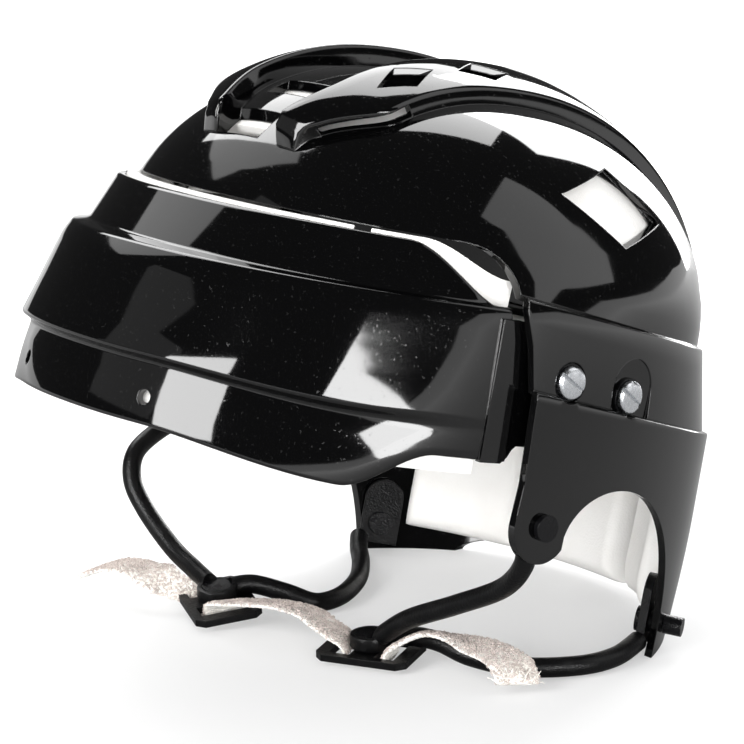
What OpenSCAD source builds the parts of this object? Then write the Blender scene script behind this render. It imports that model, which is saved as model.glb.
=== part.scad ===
// Two-piece sports helmet with a stepped brim, hollow crown ribs and a riveted chin harness.
// The shells are drawn with the brim level and the origin amid the side bands:
// +X is the wearer's left, -Y the front. Each node is then tipped back and raised,
// so that the helmet stands on its rear tabs and chin harness.

/* [Stance] */
// Backward tilt of the helmet as it stands, degrees
rest_pitch = 12; // [9:0.5:14]
// Height of the shells' origin above the table
stand_h = 124.5; // [121:0.5:128]
// Shift that puts the middle of the standing helmet over the origin
stand_y = -5.8; // [-20:0.1:20]

/* [Rear shell] */
// Wall of both shells
wall = 3; // [2.4:0.2:3.6]
// Half width at the top of the side band
band_half_w = 107; // [105:0.5:111]
// Reach of the side band behind the origin, at its top
band_rear = 132; // [128:1:138]
// Height of the side band
band_h = 28.5; // [26:0.5:31]
// Height of the side band's top line beside the origin
band_top_z = 14.2; // [12:0.2:16]
// Fall of the side band towards the back, per unit of length
band_slope = 0.126; // [0.1:0.002:0.15]
// Step at the top and at the bottom of the side band
band_step = 2; // [1:0.2:3]
// Outward slope of the back over the side band
band_flare = 8; // [5:0.5:11]
// Height of the crown above the origin
crown_h = 81; // [76:1:90]
// How far behind the origin the crown is highest
crown_y = 22; // [16:1:30]
// Reach of the crown in front of the origin
crown_front = 72; // [69:1:74]
// Fullness of the crown's front and side profile, where 2 is an ellipse
crown_n = 2.25; // [2.1:0.01:2.5]
// Fullness of the crown's rear profile
crown_rear_n = 2; // [1.9:0.02:2.3]
// Fullness of the shells' plan
plan_n = 2.2; // [2.1:0.02:2.4]
// Height of the crown's front edge
crown_edge_z = 30; // [29:0.5:34]
// Place of the shell's front edge at the origin's height
front_edge_y = -8; // [-10:0.5:-7]

/* [Tabs and ear arches] */
// Place of the front tab's rivet behind the origin
tab_y = 7.5; // [6:0.5:9]
// Drop of the front tab's rivet below the origin
tab_z = 58; // [54:1:62]
// Radius of the front tab's round end
tab_r = 12.5; // [11:0.5:14]
// Height of the ear arch's top, below the origin
arch_top = 46; // [43:1:50]
// Place of the ear arch's rear foot
arch_rear_y = 92; // [88:1:93]
// Half width of the shallow arch at the nape
nape_half_w = 58; // [50:1:64]
// Height of the shallow arch at the nape
nape_h = 9; // [6:0.5:14]

/* [Crown ribs] */
// Middle of a rib at its front, off the centre line
rib_front_x = 22; // [20:0.5:25]
// Middle of a rib over the crown
rib_mid_x = 35; // [32:0.5:38]
// Width of a rib at its front
rib_front_w = 12; // [11:0.5:14]
// Width of a rib over the crown
rib_mid_w = 24; // [21:0.5:27]
// Height of a rib above the crown
rib_h = 8; // [6:0.5:10]
// Wall of the hollow ribs
rib_wall = 2.5; // [2:0.1:3]
// Length of the window in a rib's outer wall
rib_window_l = 27; // [18:1:30]
// Length of the slanted vent in a rib's top
rib_vent_l = 16; // [12:1:20]
// Width of the slanted vent in a rib's top
rib_vent_w = 14; // [8:0.5:16]

/* [Vents] */
// Width of the two vents in the channel between the ribs
channel_vent_w = 24; // [18:1:28]
// Length of the two vents in the channel between the ribs
channel_vent_l = 9; // [7:0.5:11]
// Middle of the window in the crown's side, behind the origin
side_window_y = 30; // [26:0.5:34]
// Size of that window against its usual size
side_window_scale = 1; // [0.8:0.05:1.1]

/* [Front shell] */
// Half width of the brim at its lower step
brim_half_w = 106.4; // [105:0.2:107]
// Reach of the brim in front of its ovals' centre
brim_reach = 119.8; // [115:0.5:124]
// Place of the brim ovals' centre behind the origin
brim_y = 7.3; // [5:0.1:9]
// Height of the brim's top edge
brim_top_z = 28.5; // [26:0.5:29]
// Height of the upper step
upper_step_z = 11.5; // [9:0.5:13]
// Width of the upper step at the front
upper_step_w = 7.5; // [5:0.5:9]
// Drop of the lower step at the sides
lower_step_z = 25.8; // [24:0.2:27]
// Rise of the lower step from the sides to the front
lower_step_rise = 3.4; // [2:0.2:5]
// Width of the lower step
lower_step_w = 4; // [3:0.5:5]
// Drop of the brim's lower edge at the sides
brim_bottom_z = 52; // [50:1:54]
// Rise of the lower edge from the sides to the front
brim_bottom_rise = 7.2; // [4:0.2:9]
// Drop of the lower edge beside the ears
brim_ear_z = 38.5; // [37:0.5:40]
// How far the brim's ends lie inside the side band's surface
brim_inset = 3.8; // [3.6:0.1:4.4]
// Travel of the front shell to each side of its middle place
travel = 6; // [3:0.5:8]
// Radius of a visor hole
visor_hole_r = 2.5; // [2:0.1:3]
// Visor hole's angle round the brim from the centre line, degrees
visor_hole_turn = 18; // [14:1:22]

/* [Screws and rivets] */
// Radius of a clamp screw's shank
screw_r = 2.5; // [2:0.1:3]
// Radius of a clamp screw's head
screw_head_r = 5.7; // [5:0.1:6.2]
// Height of a clamp screw's head
screw_head_h = 2.2; // [1.6:0.1:3]
// Radius of a harness rivet's shank
rivet_r = 2; // [1.5:0.1:2.5]
// Radius of a harness rivet's head
rivet_head_r = 4.5; // [3.5:0.1:5.5]
// Radius of the boss outside the rear rivet
boss_r = 3.4; // [3:0.1:4.5]
// Height of that boss
boss_h = 6.5; // [4:0.5:8]
// Place of the rear rivet behind the origin
rear_rivet_y = 96.5; // [95:0.5:98]
// Drop of the rear rivet below the origin
rear_rivet_z = 96; // [93:0.5:98]

/* [Liner] */
// Thickness of the foam pads
foam = 11; // [8:0.5:12]
// Clearance between a pad and the shell it lines
seat_gap = 0.4; // [0.3:0.1:0.8]

/* [Harness] */
// Radius of the soft plastic tube of a jaw loop
tube_r = 3.5; // [3:0.1:4]
// Radius of the hub ring where the buckle pivots
hub_r = 7.5; // [6.5:0.5:8.5]
// Thickness of the hub ring
hub_t = 5; // [4:0.5:6]
// Length of a buckle
buckle_l = 34; // [30:1:38]
// Width of a buckle
buckle_w = 25; // [23:1:28]
// Thickness of a buckle
buckle_t = 2.6; // [2:0.2:3]
// Width of the cotton strap
strap_w = 17; // [14:0.5:18]
// Thickness of the cotton strap
strap_t = 3; // [2:0.5:3.5]

/* [Hidden] */

slide_gap = 0.4;
fit_gap = 0.05;
loose_gap = 0.5;
far = 300;

// Standing frame

module standing() {
    translate([0, stand_y, stand_h]) rotate([-rest_pitch, 0, 0]) children();
}

module both_sides() {
    children();
    mirror([1, 0, 0]) children();
}

// Lofts: rings of equal counts joined by triangles, closed by a point or by a flat end.
// The ends of a pad, whose rings run along its back and return along its face, close as a band.

function sgn_pow(v, e) = sign(v) * pow(abs(v), e);
function mix(a, b, f) = a + (b - a) * f;
function smooth(lo, hi, v) = let (f = max(0, min(1, (v - lo) / (hi - lo)))) f * f * (3 - 2 * f);
function joined(lists) = [for (l = lists) for (p = l) p];
function reversed(l) = [for (i = [len(l) - 1:-1:0]) l[i]];

module loft(rings, start = undef, end = undef, pad = false) {
    n = len(rings[0]);
    m = len(rings);
    tips = concat(is_undef(start) ? [] : [start], is_undef(end) ? [] : [end]);
    tip_a = m * n;
    tip_b = is_undef(start) ? m * n : m * n + 1;
    last = (m - 1) * n;
    sides = [for (i = [0:m - 2]) for (j = [0:n - 1]) let (k = (j + 1) % n, a = i * n, b = a + n)
        each [[a + j, b + k, a + k], [a + j, b + j, b + k]]];
    band = [for (j = [0:n / 2 - 2]) each [[j, j + 1, n - 1 - j], [j + 1, n - 2 - j, n - 1 - j]]];
    first_cap = pad ? band
        : is_undef(start) ? [[for (j = [0:n - 1]) j]]
        : [for (j = [0:n - 1]) [tip_a, j, (j + 1) % n]];
    last_cap = pad ? [for (f = band) [last + f[2], last + f[1], last + f[0]]]
        : is_undef(end) ? [[for (j = [n - 1:-1:0]) last + j]]
        : [for (j = [0:n - 1]) [tip_b, last + (j + 1) % n, last + j]];
    polyhedron(concat(joined(rings), tips), concat(sides, first_cap, last_cap), convexity = 12);
}

// Rear shell: plan ovals stacked by height

// Point of an oval at angle t, which is 0 at the front and 90 at the wearer's left
function oval(s, t) = [s[0] * sgn_pow(sin(t), 2 / plan_n),
    s[3] - (cos(t) >= 0 ? s[1] : s[2]) * sgn_pow(cos(t), 2 / plan_n)];

dome_half_w = band_half_w - band_step;
dome_rear = band_rear - band_step;
skirt_half_w = band_half_w + 1.2 + band_step;
skirt_rear = band_rear + band_flare + band_step;
skirt_bottom = -118;

// Half width, front reach, rear reach and centre of the crown at height z, inset by o
function fullness(v, n) = pow(max(1 - pow(max(v, 0), n), 0), 1 / n);
function dome_oval(z, o) = let (
        v = z / (crown_h - o),
        f = fullness(v, crown_n),
        c = crown_y * max(z, 0) / crown_h)
    [(dome_half_w - o) * f, (crown_front + crown_y - o) * f - crown_y + c,
        (dome_rear - crown_y - o) * fullness(v, crown_rear_n) + crown_y - c, c];

function band_oval(f, o) =
    [band_half_w + 1.2 * f - o, crown_front + 2, band_rear + band_flare * f - o, 0];

function skirt_oval(z, o) = let (f = pow(max(-z - 50, 0) / 68, 2))
    [skirt_half_w - 3.2 * f - o, crown_front + 2, skirt_rear - 3.8 * f - o, 0];

// Rings of the three zones, tipped to the slope of the band's lines
shell_turns = [for (i = [0:59]) i * 6];
function dome_fall(z) = -band_slope * (1 - smooth(band_top_z, 60, z));
function skirt_fall(z) = -band_slope * smooth(-100, band_top_z - band_h, z);

function dome_point(z, o, t) = let (
        high = z + dome_fall(z) * oval(dome_oval(z, o), t)[1],
        p = oval(dome_oval(high, o), t))
    [p[0], p[1], high];
function band_point(f, o, t) = let (p = oval(band_oval(f, o), t))
    [p[0], p[1], band_top_z - band_h * f - band_slope * p[1]];
function skirt_point(z, o, t) = let (p = oval(skirt_oval(z, o), t))
    [p[0], p[1], z + skirt_fall(z) * p[1]];

function dome_ring(z, o) = [for (t = shell_turns) dome_point(z, o, t)];
function band_ring(f, o) = [for (t = shell_turns) band_point(f, o, t)];
function skirt_ring(z, o) = [for (t = shell_turns) skirt_point(z, o, t)];

band_bottom_z = band_top_z - band_h;
dome_heights = concat([20, 27], [for (a = [24:6:84]) pow(sin(a), 2 / crown_n) * crown_h]);
skirt_heights = [band_bottom_z - 8, -36, -50, -66, -82, -100, skirt_bottom];

// Rings from the inner apex down, round the lower rim and up to the outer apex
module shell_blank() {
    inner_scale = (crown_h - wall) / crown_h;
    inner = concat(
        [for (i = [len(dome_heights) - 1:-1:0]) dome_ring(dome_heights[i] * inner_scale, wall)],
        [dome_ring(band_top_z - 1, wall), band_ring(0.05, wall), band_ring(1.03, wall),
            skirt_ring(band_bottom_z - 1.4, wall)],
        [for (z = skirt_heights) skirt_ring(z, wall)]);
    outer = concat(
        [for (i = [len(skirt_heights) - 1:-1:0]) skirt_ring(skirt_heights[i], 0)],
        [skirt_ring(band_bottom_z, 0), band_ring(0.99, 0), band_ring(0.5, 0),
            band_ring(0.01, 0), dome_ring(band_top_z + 0.2, 0)],
        [for (z = dome_heights) dome_ring(z, 0)]);
    loft(concat(inner, outer), [0, crown_y, crown_h - wall], [0, crown_y, crown_h]);
}

// Ribs: strips that follow the crown from front to back

// Is a point inside the crown swollen by s
function in_dome(p, s) = let (h = crown_h + s, z = max(p[2], 0))
    z >= h ? false : let (
        f = fullness(z / h, crown_n),
        c = crown_y * z / h,
        b = p[1] > c ? (dome_rear - crown_y + s) * fullness(z / h, crown_rear_n) + crown_y - c
            : (crown_front + crown_y + s) * f - crown_y + c)
    pow(abs(p[0]) / ((dome_half_w + s) * f), plan_n) + pow(abs(p[1] - c) / b, plan_n) < 1;

// Distance at which the ray in the plane of x leaves the swollen crown, by halving
function ray_at(x, a, r) = [x, crown_y - r * cos(a), r * sin(a)];
function leave(x, a, s, lo = 10, hi = 150, n = 18) = n == 0 ? lo
    : let (m = (lo + hi) / 2)
        in_dome(ray_at(x, a, m), s) ? leave(x, a, s, m, hi, n - 1) : leave(x, a, s, lo, m, n - 1);
function on_dome(x, a, s) = ray_at(x, a, leave(x, a, s));

rib_start = 34;
rib_full = 51;
rib_end = 178;

// Middle and width of a rib at angle a, from 0 at the front over the top to 180 at the back
function rib_x(a) = mix(rib_front_x, rib_mid_x, smooth(rib_start, rib_full, a));
function rib_w(a) = mix(rib_front_w, rib_mid_w, smooth(rib_start, rib_full, a));
function rib_lift(a) = rib_h - 3 * smooth(110, rib_end, a);

// Section of a rib: a strip between two swellings of the crown, narrowed by e at each side
function rib_section(a, lo, hi, e) = let (x = rib_x(a), w = rib_w(a) / 2 - e)
    [on_dome(x - w, a, lo), on_dome(x - w, a, hi), on_dome(x, a, hi), on_dome(x + w, a, hi),
        on_dome(x + w, a, lo), on_dome(x, a, lo)];

module rib_outer() {
    prow = [rib_section(rib_start, -1.2, 0.8, 1.5),
        rib_section(rib_start + 2.6, -1.2, rib_h - 0.6, 0.8)];
    turns = concat([rib_start + 4, rib_start + 7, rib_start + 10], [for (b = [48:5:rib_end]) b]);
    strip = [for (a = turns) rib_section(a, -1.2, rib_lift(a), 0)];
    loft(concat(prow, strip));
}

module rib_hollow() {
    loft([for (a = concat([rib_start + 5, rib_start + 9], [for (b = [48:5:rib_end - 10]) b]))
        rib_section(a, -wall - 2, rib_lift(a) - rib_wall, rib_wall)]);
}

// Window through a rib's outer wall, just behind the prow
rib_window_a = 38;
function rib_window_end() = rib_window_a + rib_window_l * 0.62;
module rib_window() {
    loft([for (i = [0:4]) let (a = mix(rib_window_a, rib_window_end(), i / 4),
            x = rib_x(a) + rib_w(a) / 2)
        let (top = mix(3.5, rib_h - 1.8, i / 4))
        [on_dome(x - rib_wall - 1, a, 0.4), on_dome(x - rib_wall - 1, a, top),
            on_dome(x + 3, a, top), on_dome(x + 3, a, 0.4)]]);
}

// Slanted vents through a rib's top
rib_vents_a = [59, 83];
module rib_vent(a) {
    p = on_dome(rib_x(a), a, 0);
    translate([p[0], p[1], p[2] + 5]) linear_extrude(14, center = true)
        polygon([[-rib_vent_w / 2, 0], [-1, rib_vent_l * 0.75], [rib_vent_w / 2, 0],
            [1, -rib_vent_l * 0.75]]);
}

// Vents in the channel between the ribs, cut straight down
channel_vents_y = [-51.5, -33.5];
module channel_vent(y) {
    translate([-6, y, crown_edge_z + 50]) cube([channel_vent_w, channel_vent_l, 100], center = true);
}

// Window in the crown's side: a leaning quad, cut along the normal of the wall
side_window = [[5.6, 3.9], [30, 12.8], [9, 28.4], [-19.6, 18.7]];
module side_window_cut() {
    quad = [for (p = side_window) [side_window_y, 0, 31] + side_window_scale * [p[0], 0, p[1]]];
    ring_at = function (x) [for (p = quad) [x - 0.55 * (p[2] - 45), p[0], p[2]]];
    loft([ring_at(80), ring_at(110)]);
}

// Side view of what the rear shell leaves open: the face, the front tab and the ear arch

function bezier(p, t) = pow(1 - t, 3) * p[0] + 3 * pow(1 - t, 2) * t * p[1]
    + 3 * (1 - t) * t * t * p[2] + pow(t, 3) * p[3];
arch_curve = [[tab_y + tab_r - 2.2, -tab_z - 3], [24, 10 - arch_top], [88, 14 - arch_top],
    [arch_rear_y, -112]];
edge_round = [17, 18];

module face_profile() {
    corner = [front_edge_y - 4 - edge_round[0], crown_edge_z - edge_round[1]];
    polygon(concat(
        [[-far, crown_edge_z]],
        [for (a = [90:-10:0]) corner + [edge_round[0] * cos(a), edge_round[1] * sin(a)]],
        [[front_edge_y, 0.7], [front_edge_y + 3, band_bottom_z], [front_edge_y + 4, -44]],
        [for (a = [180:12:324]) [tab_y + tab_r * cos(a), -tab_z + tab_r * sin(a)]],
        [for (t = [0:1 / 14:1.001]) bezier(arch_curve, t)],
        [[arch_rear_y, -far], [-far, -far]]));
}

module face_cut() {
    rotate([90, 0, 90]) linear_extrude(far, center = true) face_profile();
}

// Level cut at the table and the shallow arch at the nape, in the standing frame
module table_cut() {
    rotate([rest_pitch, 0, 0]) translate([0, -stand_y, -stand_h]) {
        translate([-far / 2, -far / 2, -50]) cube([far, far, 50]);
        translate([0, far, 0]) rotate([90, 0, 0]) linear_extrude(far - 60)
            polygon([for (a = [0:10:180]) [nape_half_w * cos(a), nape_h * sin(a)]]);
    }
}

// Clamp screws: height and place of each pair, on axes near to X
front_screw = [band_half_w, 10.3, -10];
rear_screw = [band_half_w - 1.8, 40.8, -13.6];
rear_screw_turn = 8;
screw_hole_r = screw_r + 0.1;
washer_r = screw_head_r + 0.7;
seat_r = washer_r + 0.4;
seat_depth = 0.7;

module at_front_screw() { translate(front_screw) rotate([0, 90, 0]) children(); }
module at_rear_screw() {
    translate(rear_screw) rotate([0, 0, rear_screw_turn]) rotate([0, 90, 0]) children();
}

// Arched pocket that gives the rear screw its flat seat, down to the band's lower line
pocket_w = 22;
pocket_depth = 2.4;
module pocket() {
    low = -band_bottom_z + band_slope * rear_screw[1] + rear_screw[2];
    at_rear_screw() translate([0, 0, -pocket_depth]) linear_extrude(20) {
        intersection() {
            translate([-2, 1.5]) circle(d = pocket_w, $fn = 48);
            translate([-40, -20]) square(40);
        }
        translate([0, 1.5 - pocket_w / 2])
            polygon([[-3, 0], [low - band_slope * pocket_w / 2, 0],
                [low + band_slope * pocket_w / 2, pocket_w], [-3, pocket_w]]);
        circle(r = seat_r, $fn = 48);
    }
}
module front_seat() {
    at_front_screw() translate([0, 0, -seat_depth]) cylinder(r = seat_r, h = 20, $fn = 48);
}

// Harness rivets: the front one is square to the side, the rear one to the turning wall
front_rivet = [skirt_half_w - wall, tab_y, -tab_z];
rear_rivet_oval = skirt_oval(-rear_rivet_z, wall);
rear_rivet_share = rear_rivet_y / rear_rivet_oval[2];
rear_rivet = [rear_rivet_oval[0] * pow(1 - pow(rear_rivet_share, plan_n), 1 / plan_n),
    rear_rivet_y, -rear_rivet_z];
rear_rivet_turn = atan2(pow(rear_rivet_share, plan_n - 1) / rear_rivet_oval[2],
    pow(rear_rivet[0] / rear_rivet_oval[0], plan_n - 1) / rear_rivet_oval[0]);

module at_front_rivet() { translate(front_rivet) rotate([0, 90, 0]) children(); }
module at_rear_rivet() {
    translate(rear_rivet) rotate([0, 0, rear_rivet_turn]) rotate([0, 90, 0]) children();
}

module rear_shell() {
    color("#101012") standing() difference() {
        union() {
            difference() {
                shell_blank();
                face_cut();
                table_cut();
            }
            both_sides() rib_outer();
        }
        both_sides() {
            rib_hollow();
            rib_window();
            rib_vent(rib_vents_a[0]);
            rib_vent(rib_vents_a[1]);
            side_window_cut();
            pocket();
            front_seat();
            at_front_screw() cylinder(r = screw_hole_r, h = 24, center = true, $fn = 32);
            at_rear_screw() cylinder(r = screw_hole_r, h = 24, center = true, $fn = 32);
            at_front_rivet() cylinder(r = rivet_r + fit_gap, h = 24, center = true, $fn = 32);
            at_rear_rivet() cylinder(r = rivet_r + fit_gap, h = 24, center = true, $fn = 32);
        }
        for (y = channel_vents_y) channel_vent(y);
    }
}

// Front shell: ovals about one centre, each row given as height, half width and reach

brim_mid_z = -(lower_step_z + brim_bottom_z) / 2;
brim_rows = [
    [brim_top_z, brim_half_w - 7.7, brim_reach - 25.2 - upper_step_w],
    [upper_step_z + 0.5, brim_half_w - 6.3, brim_reach - 15 - upper_step_w],
    [upper_step_z - 0.5, brim_half_w - 4.9, brim_reach - 15],
    [upper_step_z - 5, brim_half_w - 3.8, brim_reach - 11.8],
    [-9, brim_half_w - 1.8, brim_reach - 5.8],
    [0.3 - lower_step_z, brim_half_w, brim_reach],
    [-2 - lower_step_z, brim_half_w - 3.4, brim_reach - lower_step_w],
    [brim_mid_z, brim_half_w - 3.1, brim_reach - 1.8],
    [-brim_bottom_z, brim_half_w - 3, brim_reach - 0.4],
    [-brim_bottom_z, brim_half_w - 3 - wall, brim_reach - 0.4 - wall],
    [brim_mid_z, brim_half_w - 3.1 - wall, brim_reach - 1.8 - wall],
    [-4 - lower_step_z, brim_half_w - 3.4 - wall, brim_reach - lower_step_w - wall],
    [2 - lower_step_z, brim_half_w - wall, brim_reach - wall],
    [-9, brim_half_w - 1.8 - wall, brim_reach - 5.8 - wall],
    [upper_step_z - 6, brim_half_w - 4.2 - wall, brim_reach - 12.8 - wall],
    [upper_step_z - 4, brim_half_w - 4.9 - wall, brim_reach - 15 - wall],
    [upper_step_z - 3, brim_half_w - 6.3 - wall, brim_reach - 15 - upper_step_w - wall],
    [brim_top_z, brim_half_w - 7.7 - wall, brim_reach - 25.2 - upper_step_w - wall]];
brim_end_w = band_half_w - brim_inset;
brim_side_z = 9.8;

// Share of the way from the centre line to the shell's end, where the rows run together
function brim_merge(s) = smooth(0.6, 0.95, s);
function brim_front(s) = 1 - smooth(0.2, 0.7, s);
function below_step(z) = max(-lower_step_z - 2 - z, 0) / (brim_bottom_z - lower_step_z - 2);
function brim_rise(z) = lower_step_rise * min(max(-9 - z, 0) / (lower_step_z - 9), 1)
    + (brim_bottom_rise - lower_step_rise) * below_step(z);
function brim_row_z(z, s) = z > upper_step_z + 1 ? mix(z, brim_side_z, smooth(0.72, 1.02, s))
    : z + brim_rise(z) * brim_front(s)
        + (brim_bottom_z - brim_ear_z) * below_step(z) * smooth(0.66, 0.86, s);
function brim_end_y(z) = -13 - 0.14 * z;
function brim_row_w(i, s) = mix(brim_rows[i][1],
    brim_end_w - (i < 9 ? 0 : wall) - (brim_rows[i][0] > upper_step_z ? 1.7 : 0), brim_merge(s));

function brim_point(i, s) = let (
        z = brim_row_z(brim_rows[i][0], abs(s)),
        b = brim_rows[i][2],
        t = s * acos(pow((brim_y - brim_end_y(z)) / b, plan_n / 2)))
    [brim_row_w(i, abs(s)) * sgn_pow(sin(t), 2 / plan_n),
        brim_y - b * pow(cos(t), 2 / plan_n), z];

// Tongue that runs back inside the rear shell's band, where the screws clamp it
tongue_t = 2.6;
tongue_max_x = brim_end_w - 0.6;
function band_inner_x(y) = (band_half_w - wall)
    * pow(1 - pow(max(y, 0) / (band_rear - wall), plan_n), 1 / plan_n);
function tongue_x(y) = min(tongue_max_x, band_inner_x(y + travel) - slide_gap);
tongue_stations = [-18, -12, -7, -4, 4, 12, 20, 27, 34, 41, 48, 54, 58];

module tongue() {
    loft([for (y = tongue_stations) let (x = tongue_x(y), f = smooth(-9, -4, y),
            top = mix(8, -1, f), low = mix(-39, -33, f))
        [[x - tongue_t, y, low], [x - tongue_t, y, top], [x, y, top], [x, y, low]]]);
}

module slot_for() {
    hull() {
        translate([0, -travel - 0.2, 0]) children();
        translate([0, travel + 0.2, 0]) children();
    }
}

visor_hole_z = -36;
module at_visor_hole() {
    t = visor_hole_turn;
    x = (brim_half_w - 3.1) * pow(sin(t), 2 / plan_n);
    y = brim_y - (brim_reach - 1.5) * pow(cos(t), 2 / plan_n);
    translate([x, y, visor_hole_z]) rotate([90, 0, t + 0.5]) children();
}

module front_shell() {
    color("#101012") standing() difference() {
        union() {
            loft([for (k = [-20:20]) [for (i = [0:len(brim_rows) - 1]) brim_point(i, k / 20)]]);
            both_sides() tongue();
        }
        both_sides() {
            slot_for() at_front_screw()
                cylinder(r = screw_r + 0.2, h = 40, center = true, $fn = 32);
            slot_for() at_rear_screw()
                cylinder(r = screw_r + 0.2, h = 40, center = true, $fn = 32);
            at_visor_hole() cylinder(r = visor_hole_r, h = 14, center = true, $fn = 32);
        }
    }
}

// Clamp screws with their washers and nuts, drawn outward from the band's surface

washer_t = 1;
nut_r = 5.4;
nut_t = 3;
screw_slot_w = 1.2;
function nut_seat(screw, turn) = (tongue_x(screw[1] + nut_r + travel) - tongue_t - slide_gap
    - screw[0] + nut_r * sin(turn)) / cos(turn);
front_nut_z = nut_seat(front_screw, 0);
rear_nut_z = nut_seat(rear_screw, rear_screw_turn);

module clamp_screw(floor_z, nut_z) {
    head = floor_z + washer_t + 2 * fit_gap;
    difference() {
        union() {
            translate([0, 0, nut_z - nut_t - 0.5])
                cylinder(r = screw_r, h = head - nut_z + nut_t + 0.6, $fn = 32);
            translate([0, 0, head]) cylinder(r = screw_head_r, h = screw_head_h * 0.6, $fn = 48);
            translate([0, 0, head + screw_head_h * 0.6])
                cylinder(r1 = screw_head_r, r2 = screw_head_r - 1.4, h = screw_head_h * 0.4,
                    $fn = 48);
        }
        translate([0, 0, head + screw_head_h]) rotate([0, 0, 62])
            cube([screw_head_r * 3, screw_slot_w, screw_head_h], center = true);
    }
}

module ring_of(r, hole, z, h) {
    translate([0, 0, z]) difference() {
        cylinder(r = r, h = h, $fn = 48);
        translate([0, 0, -1]) cylinder(r = hole, h = h + 2, $fn = 32);
    }
}

module clamp_screws() {
    color("#d8dade") standing() both_sides() {
        at_front_screw() clamp_screw(-seat_depth, front_nut_z);
        at_rear_screw() clamp_screw(-pocket_depth, rear_nut_z);
    }
}

module screw_washers() {
    color("#18181a") standing() both_sides() {
        at_front_screw() ring_of(washer_r, screw_hole_r, fit_gap - seat_depth, washer_t);
        at_rear_screw() ring_of(washer_r, screw_hole_r, fit_gap - pocket_depth, washer_t);
    }
}

module clamp_nuts() {
    color("#b8babe") standing() both_sides() {
        at_front_screw() ring_of(nut_r, screw_r + fit_gap, front_nut_z - nut_t, nut_t);
        at_rear_screw() ring_of(nut_r, screw_r + fit_gap, rear_nut_z - nut_t, nut_t);
    }
}

// Foam pads: a strip of sections, full in the middle and rounded off along every edge

function edge_soft(f) = let (e = min(f, 1 - f)) mix(0.5, 1, smooth(0, 0.14, e));

front_skin = [[-brim_bottom_z, brim_half_w - 6, brim_reach - 3.6],
    [-lower_step_z - 4, brim_half_w - 6.4, brim_reach - 7],
    [2 - lower_step_z, brim_half_w - 3.2, brim_reach - 3.2],
    [-9, brim_half_w - 4.8, brim_reach - 8.8],
    [upper_step_z - 6, brim_half_w - 7.2, brim_reach - 15.8],
    [upper_step_z - 4.6, brim_half_w - 9.3, brim_reach - 25.5],
    [brim_top_z, brim_half_w - 10.7, brim_reach - 35.7]];

// Point at depth d inside the front shell, at height z and angle t
function front_depth(z, t, d) = let (
        w = lookup(z, [for (r = front_skin) [r[0], r[1]]]),
        b = lookup(z, [for (r = front_skin) [r[0], r[2]]]),
        m = brim_merge(abs(t) / 82))
    [(mix(w, min(w, brim_end_w - wall - 1.7), m) - d) * sgn_pow(sin(t), 2 / plan_n),
        brim_y - (b - d) * pow(cos(t), 2 / plan_n), pad_row_z(z, abs(t))];

// Point at depth d inside the rear shell's lower part, at height z and angle t
function rear_depth(z, t, d) = let (
        y = oval(band_oval(0.5, wall), t)[1],
        band_low = band_bottom_z - band_slope * y - 1.5,
        s = z > band_low ? band_oval((band_top_z - band_slope * y - z) / band_h, wall + d)
            : skirt_oval(z, wall + d),
        p = oval(s, t))
    [p[0], p[1], z];

// Point at depth d inside the crown, at height z and angle t
function dome_depth(z, t, d) = let (p = oval(dome_oval(z, wall + d), t)) [p[0], p[1], z];

pad_step_z = upper_step_z - 6;
front_pad_rows = [brim_top_z + 1, brim_top_z - 2, mix(brim_top_z, pad_step_z, 0.5),
    pad_step_z + 1.4, pad_step_z, -9, 4 - lower_step_z, 2 - lower_step_z, -4 - lower_step_z,
    -7 - lower_step_z, 8 - brim_bottom_z];
function pad_row_z(z, t) = z > pad_step_z
    ? mix(pad_step_z, mix(brim_top_z + 1, brim_top_z - 9, smooth(58, 80, t)),
        (z - pad_step_z) / (brim_top_z + 1 - pad_step_z))
    : z + brim_rise(z) * brim_front(t / 82);
rear_pad_low = -95;
rear_pad_rows = [-6, -9, -18, -27, -38, -52, -66, -80, rear_pad_low + 3, rear_pad_low];
side_pad_rows = [60, 57, 51, 45, 38, 31, 26, 23];

function share(v, l) = (v - l[0]) / (l[len(l) - 1] - l[0]);

module front_pad(turns) {
    loft([for (t = turns) let (e = edge_soft(share(t, turns))) concat(
        [for (z = front_pad_rows) front_depth(z, t, seat_gap)],
        [for (z = reversed(front_pad_rows)) front_depth(z, t,
            seat_gap + foam * e * edge_soft(share(z, front_pad_rows)))])], pad = true);
}

module rear_pad(turns) {
    loft([for (t = turns) let (e = edge_soft(share(t, turns))) concat(
        [for (z = rear_pad_rows) rear_depth(z, t, seat_gap)],
        [for (z = reversed(rear_pad_rows))
            rear_depth(z, t, seat_gap + foam * e * edge_soft(share(z, rear_pad_rows)))])], pad = true);
}

module side_pad(turns) {
    loft([for (t = turns) let (e = edge_soft(share(t, turns))) concat(
        [for (z = side_pad_rows) dome_depth(z, t, seat_gap)],
        [for (z = reversed(side_pad_rows))
            dome_depth(z, t, seat_gap + foam * e * edge_soft(share(z, side_pad_rows)))])], pad = true);
}

crown_pad_xs = [-44, -41, -34, -26, -17, -8, 0, 8, 17, 26, 34, 41, 44];
crown_pad_as = [37, 40, 47, 56, 66, 76, 86, 96, 106, 116, 124, 131, 134];
module crown_pad() {
    color("#eeece6") standing() loft([for (a = crown_pad_as)
        let (e = edge_soft(share(a, crown_pad_as))) concat(
            [for (x = crown_pad_xs) on_dome(x, a, -wall - seat_gap)],
            [for (x = reversed(crown_pad_xs))
                on_dome(x, a, -wall - seat_gap - foam * e * edge_soft(share(x, crown_pad_xs)))])], pad = true);
}

function spread(a, b, n) = [for (i = [0:n]) let (f = i / n) a + (b - a) * (f - sin(360 * f) / 15)];

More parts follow.
